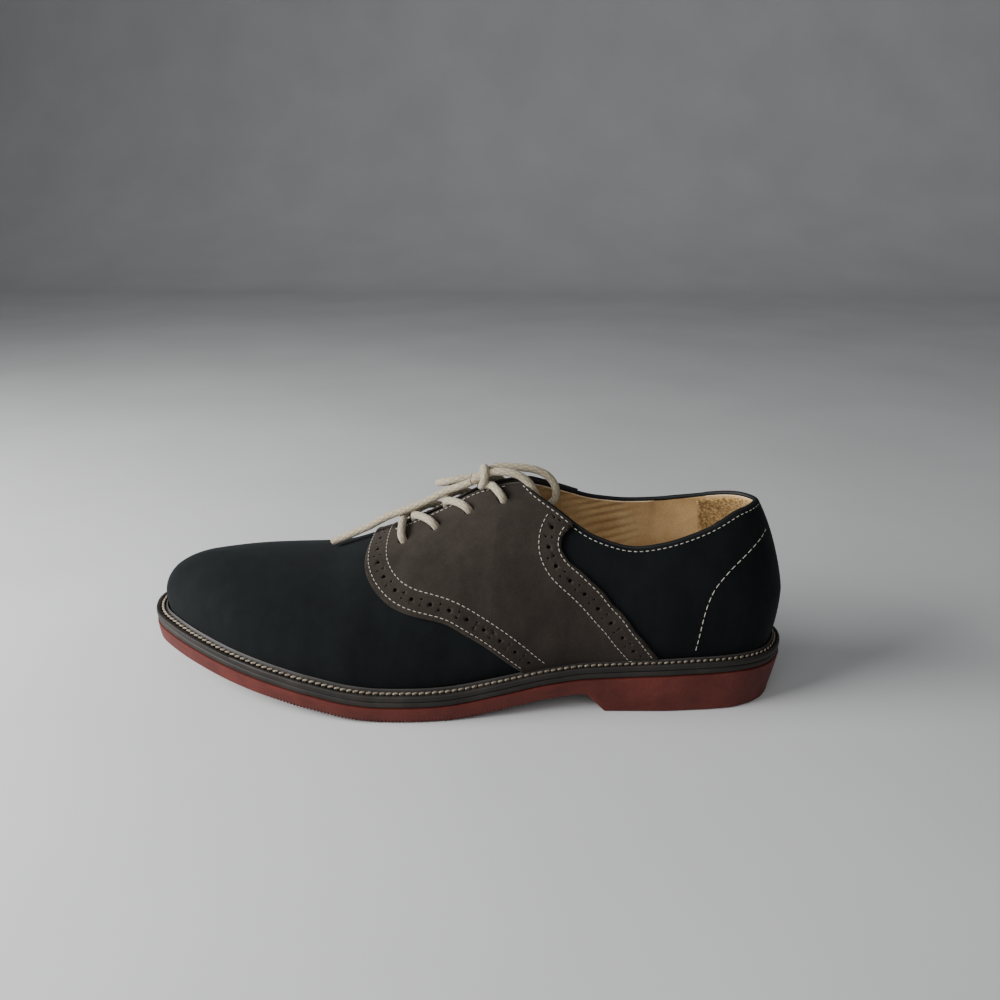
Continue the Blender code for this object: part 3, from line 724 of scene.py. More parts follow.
def fleece(name, dark, base, light):
    """The rough, tufted suede inside the heel."""
    n = Nodes(name)
    tufts = n.noise(750, 4, 0.75)
    # The colour follows the tufts' height, as the bump does: the suede's own speckle together with painted
    # shade in the hollows between the tufts.
    colour = n.ramp(tufts, [(0.34, dark), (0.50, base), (0.66, light)])
    normal = n.bump(tufts, 0.0007, 0.8)
    return n.finish(colour, 0.95, normal, Sheen_Weight=0.2, Sheen_Roughness=0.5, Specular_IOR_Level=0.15)


def leather(name, dark, base, light, roughness, bump=0.00012, scale=420):
    """Smooth lining or edge leather with pores and soft blotches."""
    n = Nodes(name)
    blotch = n.ramp(n.noise(55, 4, 0.6), [(0.30, dark), (0.52, base), (0.75, light)])
    pores = n.ramp(n.noise(scale * 4, 2, 0.6), [(0.35, (0.72, 0.72, 0.72)), (0.6, (1.15, 1.15, 1.15))])
    colour = n.mix(0.5, blotch, pores, "MULTIPLY")
    normal = n.bump(n.noise(scale, 4, 0.65), bump, 0.6)
    return n.finish(colour, roughness, normal, Specular_IOR_Level=0.3)


def rubber(name):
    """Moulded red rubber: faint mottling, scuffs and a dusty bloom."""
    n = Nodes(name)
    mottled = n.ramp(n.noise(70, 4, 0.6), [(0.28, RED_DEEP), (0.5, RED_BASE), (0.75, RED_LIGHT)])
    specks = n.ramp(n.noise(900, 3, 0.7), [(0.38, (0.78, 0.78, 0.78)), (0.62, (1.18, 1.18, 1.18))])
    colour = n.mix(0.5, mottled, specks, "MULTIPLY")
    scuffs = n.ramp(n.noise(240, 5, 0.7, (0.25, 0.25, 2.2)), [(0.60, (0, 0, 0)), (0.74, (1, 1, 1))])
    dust = n.mix(scuffs, (0.0, 0.0, 0.0), (0.030, 0.022, 0.019))
    colour = n.mix(0.5, colour, dust, "ADD")
    rough = n.maths("MULTIPLY_ADD", n.noise(130, 3), 0.2)
    rough.node.inputs[2].default_value = 0.48
    normal = n.bump(n.noise(700, 3, 0.6), 0.00008, 0.5)
    return n.finish(colour, rough, normal, Specular_IOR_Level=0.3)


def cotton(name, dark, light):
    """Braided lace yarn with a fuzzy surface and small specks."""
    n = Nodes(name)
    coords = n.add("ShaderNodeUVMap")
    strands = []
    for slant in (1.0, -1.0):
        wave = n.add("ShaderNodeTexWave", wave_type="BANDS", bands_direction="DIAGONAL")
        mapping = n.add("ShaderNodeMapping")
        mapping.inputs["Scale"].default_value = (1.0, 8.0 * slant, 1.0)
        n.link(coords.outputs["UV"], mapping.inputs["Vector"])
        n.link(mapping.outputs["Vector"], wave.inputs["Vector"])
        wave.inputs["Scale"].default_value = 0.5
        wave.inputs["Distortion"].default_value = 0.6
        strands.append(wave.outputs["Fac"])
    braid = n.maths("MULTIPLY", strands[0], strands[1])
    fuzz = n.noise(2400, 3, 0.75)
    height = n.maths("ADD", n.maths("MULTIPLY", braid, 0.45), fuzz)
    # The colour follows the same height as the bump: painted shade in the braid's grooves and the fuzz's
    # hollows, with the fuzz's own random tone.
    colour = n.ramp(n.maths("MULTIPLY", height, 0.75), [(0.22, dark), (0.58, light)])
    specks = n.ramp(n.noise(2600, 1, 0.5), [(0.34, (0.55, 0.5, 0.45)), (0.42, (1, 1, 1))])
    colour = n.mix(0.45, colour, specks, "MULTIPLY")
    normal = n.bump(height, 0.0003, 0.7)
    return n.finish(colour, 0.95, normal, Sheen_Weight=0.25, Sheen_Roughness=0.6, Specular_IOR_Level=0.15)


def thread(name, dark, light):
    n = Nodes(name)
    colour = n.ramp(n.noise(900, 2, 0.6), [(0.3, dark), (0.7, light)])
    normal = n.bump(n.noise(3500, 2, 0.6), 0.0001, 0.5)
    return n.finish(colour, 0.8, normal, Specular_IOR_Level=0.3)


RED_DEEP = (0.058, 0.0088, 0.0062)
RED_BASE = (0.082, 0.0135, 0.0094)
RED_LIGHT = (0.112, 0.0210, 0.0148)

dark_suede = suede(
    "dark_suede",
    (0.0018, 0.0025, 0.0029),
    (0.0031, 0.0042, 0.0047),
    (0.0060, 0.0079, 0.0087),
    (0.60, 0.66, 0.68),
    0.035,
)
brown_suede = suede(
    "brown_suede",
    (0.0165, 0.0130, 0.0103),
    (0.0250, 0.0200, 0.0158),
    (0.0360, 0.0290, 0.0232),
    (0.75, 0.65, 0.58),
    0.10,
)
red_rubber = rubber("red_rubber")
edge_brown = leather(
    "edge_brown",
    (0.010, 0.0082, 0.0066),
    (0.017, 0.0140, 0.0115),
    (0.031, 0.0260, 0.0210),
    0.6,
    0.00008,
    700,
)
welt_brown = leather(
    "welt_brown",
    (0.009, 0.0072, 0.0060),
    (0.015, 0.0122, 0.0102),
    (0.028, 0.0235, 0.0195),
    0.55,
    0.00006,
    900,
)
# A lighter copy of the welt leather for the ridge's strips: a painted highlight along the ridge.
ridge_brown = leather(
    "ridge_brown",
    (0.020, 0.0175, 0.0155),
    (0.032, 0.0285, 0.0255),
    (0.050, 0.0450, 0.0400),
    0.55,
    0.00006,
    900,
)
# A near-black copy of the welt leather for the stitch channel: painted shade in the channel and its groove.
channel_black = leather(
    "channel_black", (0.003, 0.0025, 0.002), (0.005, 0.004, 0.0035), (0.009, 0.0075, 0.006), 0.8
)
tan_lining = leather("tan_lining", (0.58, 0.365, 0.165), (0.73, 0.490, 0.235), (0.83, 0.595, 0.310), 0.45)
lining_edge = leather("lining_edge", (0.50, 0.38, 0.24), (0.60, 0.48, 0.32), (0.70, 0.58, 0.42), 0.7)
footbed_tan = leather("footbed_tan", (0.30, 0.19, 0.09), (0.40, 0.26, 0.13), (0.48, 0.33, 0.18), 0.6)
grip_suede = fleece("grip_suede", (0.10, 0.052, 0.014), (0.30, 0.175, 0.055), (0.58, 0.38, 0.15))
binding_black = leather(
    "binding_black", (0.003, 0.003, 0.0035), (0.006, 0.006, 0.007), (0.011, 0.011, 0.012), 0.6
)
raw_edge = leather("raw_edge", (0.016, 0.012, 0.009), (0.029, 0.022, 0.017), (0.046, 0.036, 0.028), 0.8)
lace_cotton = cotton("lace_cotton", (0.19, 0.155, 0.10), (0.43, 0.37, 0.265))
stitch_white = thread("stitch_white", (0.30, 0.28, 0.235), (0.46, 0.43, 0.37))
stitch_welt = thread("stitch_welt", (0.15, 0.120, 0.088), (0.34, 0.285, 0.215))


# Camera and light

CAMERA_PLACE = Vector((0.1075, 0.383, 0.224))
CAMERA_YAW = 0.065
CAMERA_PITCH = 0.34
CAMERA_FOCUS_PX = 885
FRAME_PX = 1000
SENSOR_WIDTH = 36
SKY_COLOUR = (0.92, 0.96, 1.0, 1)
SKY_STRENGTH = 0.20
FLOOR_NEAR = 2.5
FLOOR_HALF_WIDTH = 4
SWEEP_FROM = 1.6
SWEEP_RADIUS = 0.8
SWEEP_START = 0.1
SWEEP_STEPS = 12
BACKDROP_HIGH = 3.5


def make_camera():
    """The photograph's camera, in front of the shoe's outer side and a little above it."""
    lens = bpy.data.cameras.new("camera")
    lens.sensor_width = SENSOR_WIDTH
    lens.lens = lens.sensor_width * CAMERA_FOCUS_PX / FRAME_PX
    lens.clip_start = 0.01
    lens.clip_end = 20
    camera = bpy.data.objects.new("camera", lens)
    bpy.context.scene.collection.objects.link(camera)
    level = math.cos(CAMERA_PITCH)
    flat = Vector((math.sin(CAMERA_YAW), -math.cos(CAMERA_YAW), 0)) * level
    ahead = flat - Vector((0, 0, math.sin(CAMERA_PITCH)))
    camera.location = CAMERA_PLACE + SHIFT
    camera.rotation_mode = "QUATERNION"
    camera.rotation_quaternion = ahead.to_track_quat("-Z", "Y")
    bpy.context.scene.camera = camera


def area_light(name, place, aim, size, power):
    light = bpy.data.lights.new(name, "AREA")
    light.shape = "RECTANGLE"
    light.size, light.size_y = size
    light.energy = power
    obj = bpy.data.objects.new(name, light)
    bpy.context.scene.collection.objects.link(obj)
    obj.location = place
    obj.rotation_mode = "QUATERNION"
    obj.rotation_quaternion = (Vector(aim) - Vector(place)).to_track_quat("-Z", "Y")


def make_stage():
    """A pale floor that curves up into a backdrop on the far side, with soft light from the toe's side."""
    n = Nodes("floor")
    colour = n.ramp(n.noise(6, 3), [(0.3, (0.53, 0.532, 0.53)), (0.7, (0.58, 0.582, 0.58))])
    floor_material = n.finish(colour, 0.9)
    bm = bmesh.new()
    sweep = np.linspace(SWEEP_START, math.pi / 2, SWEEP_STEPS)
    profile = [(FLOOR_NEAR, 0.0), (-SWEEP_FROM, 0.0)]
    profile += [(-SWEEP_FROM - SWEEP_RADIUS * math.sin(t), SWEEP_RADIUS * (1 - math.cos(t))) for t in sweep]
    profile.append((-SWEEP_FROM - SWEEP_RADIUS, BACKDROP_HIGH))
    rows = [[bm.verts.new((x, y, z)) for y, z in profile] for x in (-FLOOR_HALF_WIDTH, FLOOR_HALF_WIDTH)]
    for k in range(len(profile) - 1):
        bm.faces.new((rows[0][k], rows[0][k + 1], rows[1][k + 1], rows[1][k]))
    floor = mesh_object("floor", bm, [floor_material])
    bpy.context.scene.collection.objects.link(floor)
    world = bpy.data.worlds.new("studio")
    world.use_nodes = True
    sky = world.node_tree.nodes["Background"]
    sky.inputs["Color"].default_value = SKY_COLOUR
    sky.inputs["Strength"].default_value = SKY_STRENGTH
    bpy.context.scene.world = world
    area_light("window", (0.74, 0.26, 0.42), (0.08, 0.0, 0.04), (0.6, 0.45), 17)
    area_light("fill", (0.05, 1.10, 0.80), (0, 0, 0.06), (1.3, 0.7), 5)


# Sole


def ring_points(stations, inset, height):
    """A ring around the shoe: outer side from heel to toe, then the inner side back.

    inset is a function of the stations and the side. height is one of the ring's own stations,
    the stations and the side."""
    points = []
    count = len(stations)
    for side, picked in ((OUTER, range(count)), (INNER, range(count - 2, 0, -1))):
        flat = edge_point(stations, side, inset(stations, side))
        level = height(flat[:, 0] / LENGTH, stations, side)
        points += [(flat[i, 0], flat[i, 1], level[i]) for i in picked]
    return points


def sole_rings(bm, stations, profile):
    """A ring for each pair (inset, height) of the profile, joined to the one before it."""
    rings = []
    for inset, height in profile:
        rings.append([bm.verts.new(p) for p in ring_points(stations, inset, height)])
    loft(bm, rings)
    return rings


def edge_tuck(s):
    """How far the outsole's lower edge lies inside its outline."""
    return EDGE_TUCK + (HEEL_TUCK - EDGE_TUCK) * np.clip(1 - s / HEEL_TUCK_END, 0, 1)


OUTSOLE_COLUMNS = 1150
SERRATION_PITCH = 0.0016
SERRATION_DEPTH = 0.0007
RIB_PITCH = 0.0032
RIB_DEPTH = 0.0006
RIB_ACROSS = 18

# Section of the outsole's edge from the tread up. The inset is made of shares of the edge's tuck and of
# the teeth and a length, the height of shares of the wall and of the teeth and a length.
OUTSOLE_EDGE = (
    (1.00, 0.0, 2.20 * EDGE_ROUND, 0.00, 0.0, 0.0),
    (1.00, 0.0, 0.70 * EDGE_ROUND, 0.00, 0.9, 0.0001),
    (1.00, 1.0, 0.15 * EDGE_ROUND, 0.00, 0.7, 0.0005),
    (1.00, 0.5, 0.0, 0.00, 0.0, 1.3 * EDGE_ROUND),
    (1.00, 0.0, 0.0, 0.00, 0.0, 2.0 * EDGE_ROUND),
    (0.55, 0.0, 0.0, 0.45, 0.0, 0.0),
    (0.00, 0.0, 0.0, 1.00, 0.0, -0.0008),
    (0.00, 0.0, 0.00015, 1.00, 0.0, -0.0002),
    (0.00, 0.0, 0.0006, 1.00, 0.0, 0.0),
)


def rib(x):
    """Depth of the grooves across the forepart's and the heel's tread."""
    s = x / LENGTH
    forepart = smooth_step(0.40, 0.44, s) * (1 - smooth_step(0.90, 0.94, s))
    heel = smooth_step(0.03, 0.05, s) * (1 - smooth_step(0.24, 0.26, s))
    groove = 0.5 - 0.5 * np.cos(2 * np.pi * x / RIB_PITCH)
    return RIB_DEPTH * groove**2 * np.clip(forepart + heel, 0, 1)


def teeth(s):
    """Depth of the teeth along the forepart's lower edge."""
    zone = smooth_step(0.36, 0.42, s) * (1 - smooth_step(0.72, 0.80, s))
    return SERRATION_DEPTH * (zone * (0.5 + 0.5 * np.sin(2 * np.pi * s * LENGTH / SERRATION_PITCH)))


def outsole_row(tuck, teeth_in, inset, wall, teeth_up, lift):
    """One row of OUTSOLE_EDGE as its two functions."""
    return (
        lambda s, side: tuck * edge_tuck(s) + inset + teeth_in * teeth(s),
        lambda x, s, side: tread(x) + wall * (outsole_top(x) - tread(x)) + lift + teeth_up * teeth(s),
    )


def make_outsole():
    stations = even_stations(OUTSOLE_COLUMNS, (BREAST_FOOT, BREAST_TOP))
    bm = bmesh.new()
    rows = sole_rings(bm, stations, [outsole_row(*row) for row in OUTSOLE_EDGE])
    count = len(rows[0])
    half = count // 2

    def close(ring, fine):
        """Strips from side to side, with ribs on the tread."""
        def across(i):
            a, b = ring[i], ring[(count - i) % count]
            if not fine or a is b:
                return [a, b]
            inner = []
            for k in range(1, RIB_ACROSS):
                p = a.co.lerp(b.co, k / RIB_ACROSS)
                p.z += float(rib(p.x))
                inner.append(bm.verts.new(p))
            return [a] + inner + [b]

        before = across(1)
        bm.faces.new(dict.fromkeys([ring[0]] + before))
        for i in range(2, half):
            after = across(i)
            for k in range(len(after) - 1):
                bm.faces.new((before[k], before[k + 1], after[k + 1], after[k]))
            before = after
        bm.faces.new(dict.fromkeys([ring[half]] + before))

    close(rows[0], True)
    close(rows[-1], False)
    obj = closed_piece("outsole_rubber", bm, [red_rubber], 35)
    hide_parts("outsole")


# Insets and heights of the midsole's edge over the outsole
MIDSOLE_EDGE = (
    (0.0012, 0.0000),
    (0.0007, 0.0001),
    (0.0004, 0.0005),
    (0.0003, 0.0014),
    (0.0003, 0.0022),
    (0.0005, 0.0027),
    (0.0012, 0.0029),
)


def midsole_row(inset, lift):
    return lambda s, side: 0.0 * s + inset, lambda x, s, side: outsole_top(x) + GAP + lift


def make_midsole():
    bm = bmesh.new()
    rings = sole_rings(bm, even_stations(SOLE_COLUMNS), [midsole_row(*row) for row in MIDSOLE_EDGE])
    for ring in (rings[0], rings[-1]):
        bm.faces.new(ring)
    bmesh.ops.recalc_face_normals(bm, faces=bm.faces)
    bmesh.ops.triangulate(bm, faces=[f for f in bm.faces if len(f.verts) > 4])
    obj = closed_piece("midsole_edge", bm, [edge_brown], 60)
    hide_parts("midsole")


WELT_PITCH = 0.00295
STITCH_IN = 0.0029
STITCH_IN_HEEL = 0.0021


def stitch_inset(s):
    return STITCH_IN_HEEL + (STITCH_IN - STITCH_IN_HEEL) * welt_share(s)


def welt_stitches(side):
    """Length along the outline at each dense station, and the number of stitches on one side."""
    run = run_along(edge[side])
    return run, int(round(run[-1] / WELT_PITCH))


def stitch_places(side):
    """Stations of the welt's stitches on one side."""
    run, count = welt_stitches(side)
    return np.interp((np.arange(count) + 0.5) * run[-1] / count, run, dense_s)


def notch(s, side):
    """1 in the notch outside each stitch, 0 between."""
    run, count = welt_stitches(side)
    phase = np.interp(s, dense_s, run) / run[-1] * count
    return np.clip(1.6 * np.cos(2 * np.pi * phase) - 0.3, 0, 1)


RIDGE_HIGH = 0.0011
CHANNEL = range(7, 11)
RIDGE = range(13, 15)
WELT_TOP = WELT_THICK
WELT_INNER = WELT_RING - WELT_OUT

# Section of the welt, round from its lower outer edge. The inset is made of shares of the stitches' inset
# and of the upper's and a length, the height of a length and a share of the notch.
WELT_SECTION = (
    (0.0, 0.0, 0.0010, 0.0, 0.0),
    (0.0, 0.0, 0.0002, 0.0001, 0.0),
    (0.0, 0.0, 0.0, 0.0005, 0.0),
    (0.0, 0.0, 0.0, WELT_TOP - 0.0008, 0.0),
    (0.0, 0.0, 0.00025, WELT_TOP - 0.0002, 0.0),
    (0.0, 0.0, 0.0008, WELT_TOP, 0.0),
    (1.0, 0.0, -0.0013, WELT_TOP, -0.00010),
    (1.0, 0.0, -0.0008, WELT_TOP, -0.00065),
    (1.0, 0.0, -0.0004, WELT_TOP - 0.0003, -0.0006),
    (1.0, 0.0, 0.0, WELT_TOP - 0.0006, 0.0),
    (1.0, 0.0, 0.0004, WELT_TOP - 0.0007, 0.0),
    (0.5, 0.5, -0.0009, WELT_TOP - 0.0011, 0.0),
    (0.0, 1.0, -0.0019, WELT_TOP - 0.0001, 0.0),
    (0.0, 1.0, -0.0017, WELT_TOP + 0.6 * RIDGE_HIGH, 0.0),
    (0.0, 1.0, -0.0012, WELT_TOP + RIDGE_HIGH, 0.0),
    (0.0, 1.0, -0.0007, WELT_TOP + 0.6 * RIDGE_HIGH, 0.0),
    (0.0, 1.0, -0.0004, WELT_TOP, 0.0),
    (0.0, 1.0, WELT_INNER, WELT_TOP, 0.0),
    (0.0, 1.0, WELT_INNER, 0.0, 0.0),
)


def welt_row(stitch, feather, inset, lift, notched):
    """One row of WELT_SECTION as its two functions."""
    return (
        lambda s, side: stitch * stitch_inset(s) + feather * feather_inset(s) + inset,
        lambda x, s, side: welt_base(x) + (lift + notched * notch(s, side)),
    )


def make_welt():
    """The welt with its stitched channel, a groove and the storm ridge against the upper."""
    bm = bmesh.new()
    rings = sole_rings(bm, even_stations(WELT_COLUMNS), [welt_row(*row) for row in WELT_SECTION])
    bridge(bm, rings[-1], rings[0])
    # The channel's strips take a near-black copy of the welt leather, painted shade in the stitch channel
    # and its groove; the ridge's strips take a lighter copy, a painted highlight along the ridge.
    for index, face in enumerate(bm.faces):
        strip = index // len(rings[0])
        face.material_index = 1 if strip in CHANNEL else 2 if strip in RIDGE else 0
    obj = closed_piece("welt_strip", bm, [welt_brown, channel_black, ridge_brown], 50)
    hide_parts("welt")


BEAD_SIDES = 8
BEAD_RINGS = 5


def bead(bm, place, along, up, length, width, height):
    """One stitch: a low arched oval."""
    side = up.cross(along).normalized()
    rings = []
    for k in range(1, BEAD_RINGS + 1):
        t = math.pi * k / (BEAD_RINGS + 1)
        centre = place - along * (0.5 * length * math.cos(t))
        size = math.sin(t) ** 0.6
        ring = []
        for j in range(BEAD_SIDES):
            a = 2 * math.pi * j / BEAD_SIDES
            offset = side * (0.5 * width * size * math.cos(a)) + up * (0.5 * height * size * math.sin(a))
            ring.append(bm.verts.new(centre + offset))
        rings.append(ring)
    loft(bm, rings)
    for end, ring in ((-0.5, rings[0]), (0.5, rings[-1])):
        tip = bm.verts.new(place + along * (end * length))
        for j in range(BEAD_SIDES):
            bm.faces.new((tip, ring[j], ring[(j + 1) % BEAD_SIDES]))


THREAD_SHIFT = 0.0003
THREAD_SINK = 0.0001
THREAD_LENGTH = 0.0027
THREAD_WIDE = 0.00108
THREAD_HIGH = 0.0012
THREAD_SLANT = 0.32
THREAD_HEEL_SIZE = 0.76


def make_welt_stitches():
    bm = bmesh.new()
    for side in (OUTER, INNER):
        places = stitch_places(side)
        flat = edge_point(places, side, stitch_inset(places) + THREAD_SHIFT)
        beyond = np.clip(places + 0.0004, 0, 1)
        ahead = edge_point(beyond, side, stitch_inset(places) + THREAD_SHIFT)
        for here, there in zip(flat, ahead):
            z = float(welt_base(here[0] / LENGTH)) + WELT_THICK - THREAD_SINK
            along = Vector((there[0] - here[0], there[1] - here[1], 0))
            if along.length < 1e-7:
                along = Vector((0, side, 0))
            along.normalize()
            along.rotate(Matrix.Rotation(THREAD_SLANT * side, 3, "Z"))
            forepart = float(smooth_step(0.12, 0.40, here[0] / LENGTH))
            size = THREAD_HEEL_SIZE + (1 - THREAD_HEEL_SIZE) * forepart
            place = Vector((here[0], here[1], z))
            bead(bm, place, along, Vector((0, 0, 1)), THREAD_LENGTH * size, THREAD_WIDE * size, THREAD_HIGH)
    closed_piece("welt_stitches", bm, [stitch_welt], 80)


# Insets and heights of the footbed's edge inside the welt
FOOTBED_EDGE = ((0.0003, 0.0), (0.0003, 0.0030), (0.0008, 0.0040), (0.0020, 0.0045))


def footbed_row(inset, lift):
    return lambda s, side: feather_inset(s) + WELT_INNER + inset, lambda x, s, side: welt_base(x) + lift


def make_footbed():
    bm = bmesh.new()
    rings = sole_rings(bm, even_stations(FOOTBED_COLUMNS), [footbed_row(*row) for row in FOOTBED_EDGE])
    count = len(rings[0])
    half = count // 2
    for ring in (rings[0], rings[-1]):
        bm.faces.new((ring[0], ring[1], ring[-1]))
        for i in range(1, half - 1):
            bm.faces.new((ring[i], ring[i + 1], ring[count - i - 1], ring[count - i]))
        bm.faces.new((ring[half - 1], ring[half], ring[half + 1]))
    obj = closed_piece("footbed", bm, [footbed_tan], 40)
    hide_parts("insole")


# Upper


def ridge_point(s, side, across):
    """A point of the upper's outside near the ridge, by its level distance from the ridge."""
    if across < 0:
        side, across = -side, -across
    shape = column_shape(s, side)
    widest = shape["reach"] + shape["swell"]
    angle = math.acos(min(1.0, (across / widest) ** (shape["side"] / 2)))
    return column_point(shape, angle=angle)


def over_ridge(s, side, across, lift):
    """The same point, lifted at right angles to the surface."""
    step = PROBE / LENGTH
    ahead = ridge_point(s + step, side, across) - ridge_point(s - step, side, across)
    down = ridge_point(s, side, across + PROBE) - ridge_point(s, side, across - PROBE)
    normal = ahead.cross(down).normalized()
    if normal.z < 0:
        normal.negate()
    return ridge_point(s, side, across) + normal * lift


def eyelet(index):
    """Station of an eyelet and its level distance from the ridge."""
    share = index / (EYELETS - 1)
    s = EYELET_FIRST + share * (EYELET_LAST - EYELET_FIRST)
    inset = EYELET_INSET_FIRST + share * (EYELET_INSET_LAST - EYELET_INSET_FIRST)
    return s, float(gap_at(s)) + inset


PIN_REACH = 0.004
EYELET_SIDES = 20


def eyelet_pins():
    bm = bmesh.new()
    for index in range(EYELETS):
        s, hole = eyelet(index)
        for side in (OUTER, INNER):
            ends = [over_ridge(s, side, hole, lift) for lift in (-PIN_REACH, PIN_REACH)]
            tube(bm, ends, EYELET_RADIUS, EYELET_SIDES)
    return helper("eyelet_pins", bm)


upper_stations = even_stations(UPPER_COLUMNS, (THROAT_FRONT,))
LINING_GAP = 0.00005
SHELL = 0.0013


def make_upper(pins):
    bm, rims = upper_surface(upper_stations)
    push(bm, ruffle)
    tree = BVHTree.FromBMesh(bm)
    obj = mesh_object("upper_suede", bm, [dark_suede, raw_edge])
    solidify(obj, SHELL, -1, rim=1)
    carve(obj, pins, "DIFFERENCE")
    obj = shown(baked(obj))
    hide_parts("upper")
    return tree, rims


FOLD_PITCH = 0.0047
FOLD_SLOPE = 0.30
FOLD_DEPTH = 0.00034
FOLD_WANDER = 0.0012
LINING_ROWS = 80


def wrinkle(point):
    """Folds of the lining below the throat's top, which rise towards the heel."""
    s = point.x / LENGTH
    along = smooth_step(0.20, 0.27, s) * (1 - smooth_step(0.39, 0.44, s))
    zone = float(along * smooth_step(0.48, 0.60, point.z / INSTEP_HEIGHT))
    if not zone:
        return 0.0
    run = point.z + FOLD_SLOPE * point.x + FOLD_WANDER * noise.noise(point * 70)
    strength = 0.7 + 0.5 * noise.noise(point * 45)
    return zone * FOLD_DEPTH * strength * math.sin(2 * math.pi * run / FOLD_PITCH) - FOLD_DEPTH


def make_lining(pins):
    bm, _ = upper_surface(upper_stations, rows=LINING_ROWS)
    push(bm, ruffle)
    push(bm, lambda point: -SHELL - LINING_GAP)
    push(bm, wrinkle)
    obj = mesh_object("lining", bm, [tan_lining, lining_edge])
    solidify(obj, WALL - SHELL - LINING_GAP, -1, rim=1, even=False)
    carve(obj, pins, "DIFFERENCE")
    shown(baked(obj))


BINDING_RADIUS = 0.00108
BINDING_DROP = 0.0004
BINDING_END = FACING_TOP - 0.004
BINDING_HEEL = 0.12


def make_binding(rims):
    """The black bound edge of the collar, from one facing's top round the heel to the other's."""
    path = []
    for side in (INNER, OUTER):
        points = [point for s, point in rims[side] if s < BINDING_END]
        path += points[::-1] if side == INNER else points
    middle = []
    for point in path:
        s = point.x / LENGTH
        spine_x, spine_y, _ = spine(max(0.02, s))
        centre = Vector((spine_x if s < BINDING_HEEL else point.x, spine_y, point.z))
        move = (centre - point).normalized()
        middle.append(point + move * (WALL / 2) - Vector((0, 0, BINDING_DROP)))
    bm = bmesh.new()
    tube(bm, middle, BINDING_RADIUS, 10)
    shown(mesh_object("collar_binding", bm, [binding_black], 60))


def saddle_places(line, heights):
    """Points (station, height) of one of the saddle's edges from the side, above the welt."""
    places = [(float(line(h)), h * INSTEP_HEIGHT) for h in heights]
    return [(s, z) for s, z in places if z > upper_floor(s) + SADDLE_LIFT]


def saddle_outline():
    """The saddle's outline from the side, as a thick slab right through the shoe."""
    heights = np.linspace(SADDLE[0][0], SADDLE[-1][0], SADDLE_STEPS)
    ahead = saddle_places(saddle_front, heights)
    behind = saddle_places(saddle_rear, heights)
    low = np.linspace(behind[0][0], ahead[0][0], SADDLE_STEPS)
    foot = [(s, float(upper_floor(s) + SADDLE_LIFT)) for s in low]
    outline = foot + ahead[1:] + behind[:0:-1]
    bm = bmesh.new()
    walls = []
    for y in (-SADDLE_HALF_WIDTH, SADDLE_HALF_WIDTH):
        walls.append([bm.verts.new((s * LENGTH, y, z)) for s, z in outline])
        bm.faces.new(walls[-1])
    loft(bm, walls)
    return helper("saddle_outline", bm)


def front_edge(tree):
    """The saddle's front edge on the upper, from the outer welt over the ridge to the inner welt."""
    places = saddle_places(saddle_front, np.linspace(SADDLE[0][0], RIDGE_SHARE, 260))
    return side_line(tree, places, OUTER) + side_line(tree, places, INNER)[::-1]


def rear_edge(tree, side):
    """The saddle's rear edge on one side, from the welt up to the collar."""
    places = saddle_places(saddle_rear, np.linspace(SADDLE[0][0], 1.0, 300))
    places = [(s, z) for s, z in places if z < collar[side](s) * INSTEP_HEIGHT]
    return side_line(tree, places, side)


def even_points(points, step):
    """Points at even steps along a line. The first lies half a step from its start."""
    rows = np.array([tuple(p) for p in points])
    run = run_along(rows)
    count = max(1, int(round(run[-1] / step)))
    marks = (np.arange(count) + 0.5) * run[-1] / count
    return [Vector([float(np.interp(m, run, rows[:, k])) for k in range(3)]) for m in marks]


def smooth_line(points, rounds):
    rows = np.array([tuple(p) for p in points])
    for _ in range(rounds):
        rows[1:-1] = (rows[:-2] + 2 * rows[1:-1] + rows[2:]) / 4
    return [Vector(row) for row in rows]


BESIDE_STEP = 0.0012
BESIDE_MOVE = 0.001


def beside(tree, points, distance):
    """The line moved sideways on the surface by a distance, to the left of its run seen from outside."""
    line = smooth_line(even_points(points, BESIDE_STEP), 3)
    steps = max(1, int(math.ceil(abs(distance) / BESIDE_MOVE)))
    for _ in range(steps):
        moved = []
        for i, point in enumerate(line):
            ahead = line[min(i + 1, len(line) - 1)] - line[max(i - 1, 0)]
            _, normal, _, _ = tree.find_nearest(point)
            side = normal.cross(ahead).normalized()
            place, _, _, _ = tree.find_nearest(point + side * (distance / steps))
            moved.append(place)
        line = smooth_line(moved, 2)
    return line


SADDLE_TOP = GAP + OVERLAY
ROW_EDGE = 0.0016
ROW_FRONT = 0.0104
ROW_REAR = 0.0110
ROW_END = 0.0018
ROW_RIM = 0.0008
ROW_STEP = 0.0008
ROW_LEAST = 0.0003
HOLE_PITCH = 0.0086
HOLE_BIG = 0.00088
HOLE_SMALL = 0.00042
HOLE_PAIR = 0.00138


def run_on(tree, line):
    """Carries both ends of a row straight on until they reach the welt or the collar."""
    for _ in range(2):
        line = line[::-1]
        step = (line[-1] - line[-5]).normalized() * ROW_STEP
        while True:
            place, _, _, _ = tree.find_nearest(line[-1] + step)
            s = place.x / LENGTH
            rim = collar[OUTER if place.y > 0 else INNER](s) * INSTEP_HEIGHT
            inside = upper_floor(s) + ROW_END < place.z < rim - ROW_RIM
            if not inside or (place - line[-1]).length < ROW_LEAST:
                break
            line.append(place)
    return line


def pinhole_lines(tree):
    """Middle lines of the punched bands."""
    lines = [beside(tree, front_edge(tree), -(ROW_EDGE + ROW_FRONT) / 2)]
    for side in (OUTER, INNER):
        lines.append(beside(tree, rear_edge(tree, side), side * (ROW_EDGE + ROW_REAR) / 2))
    return lines


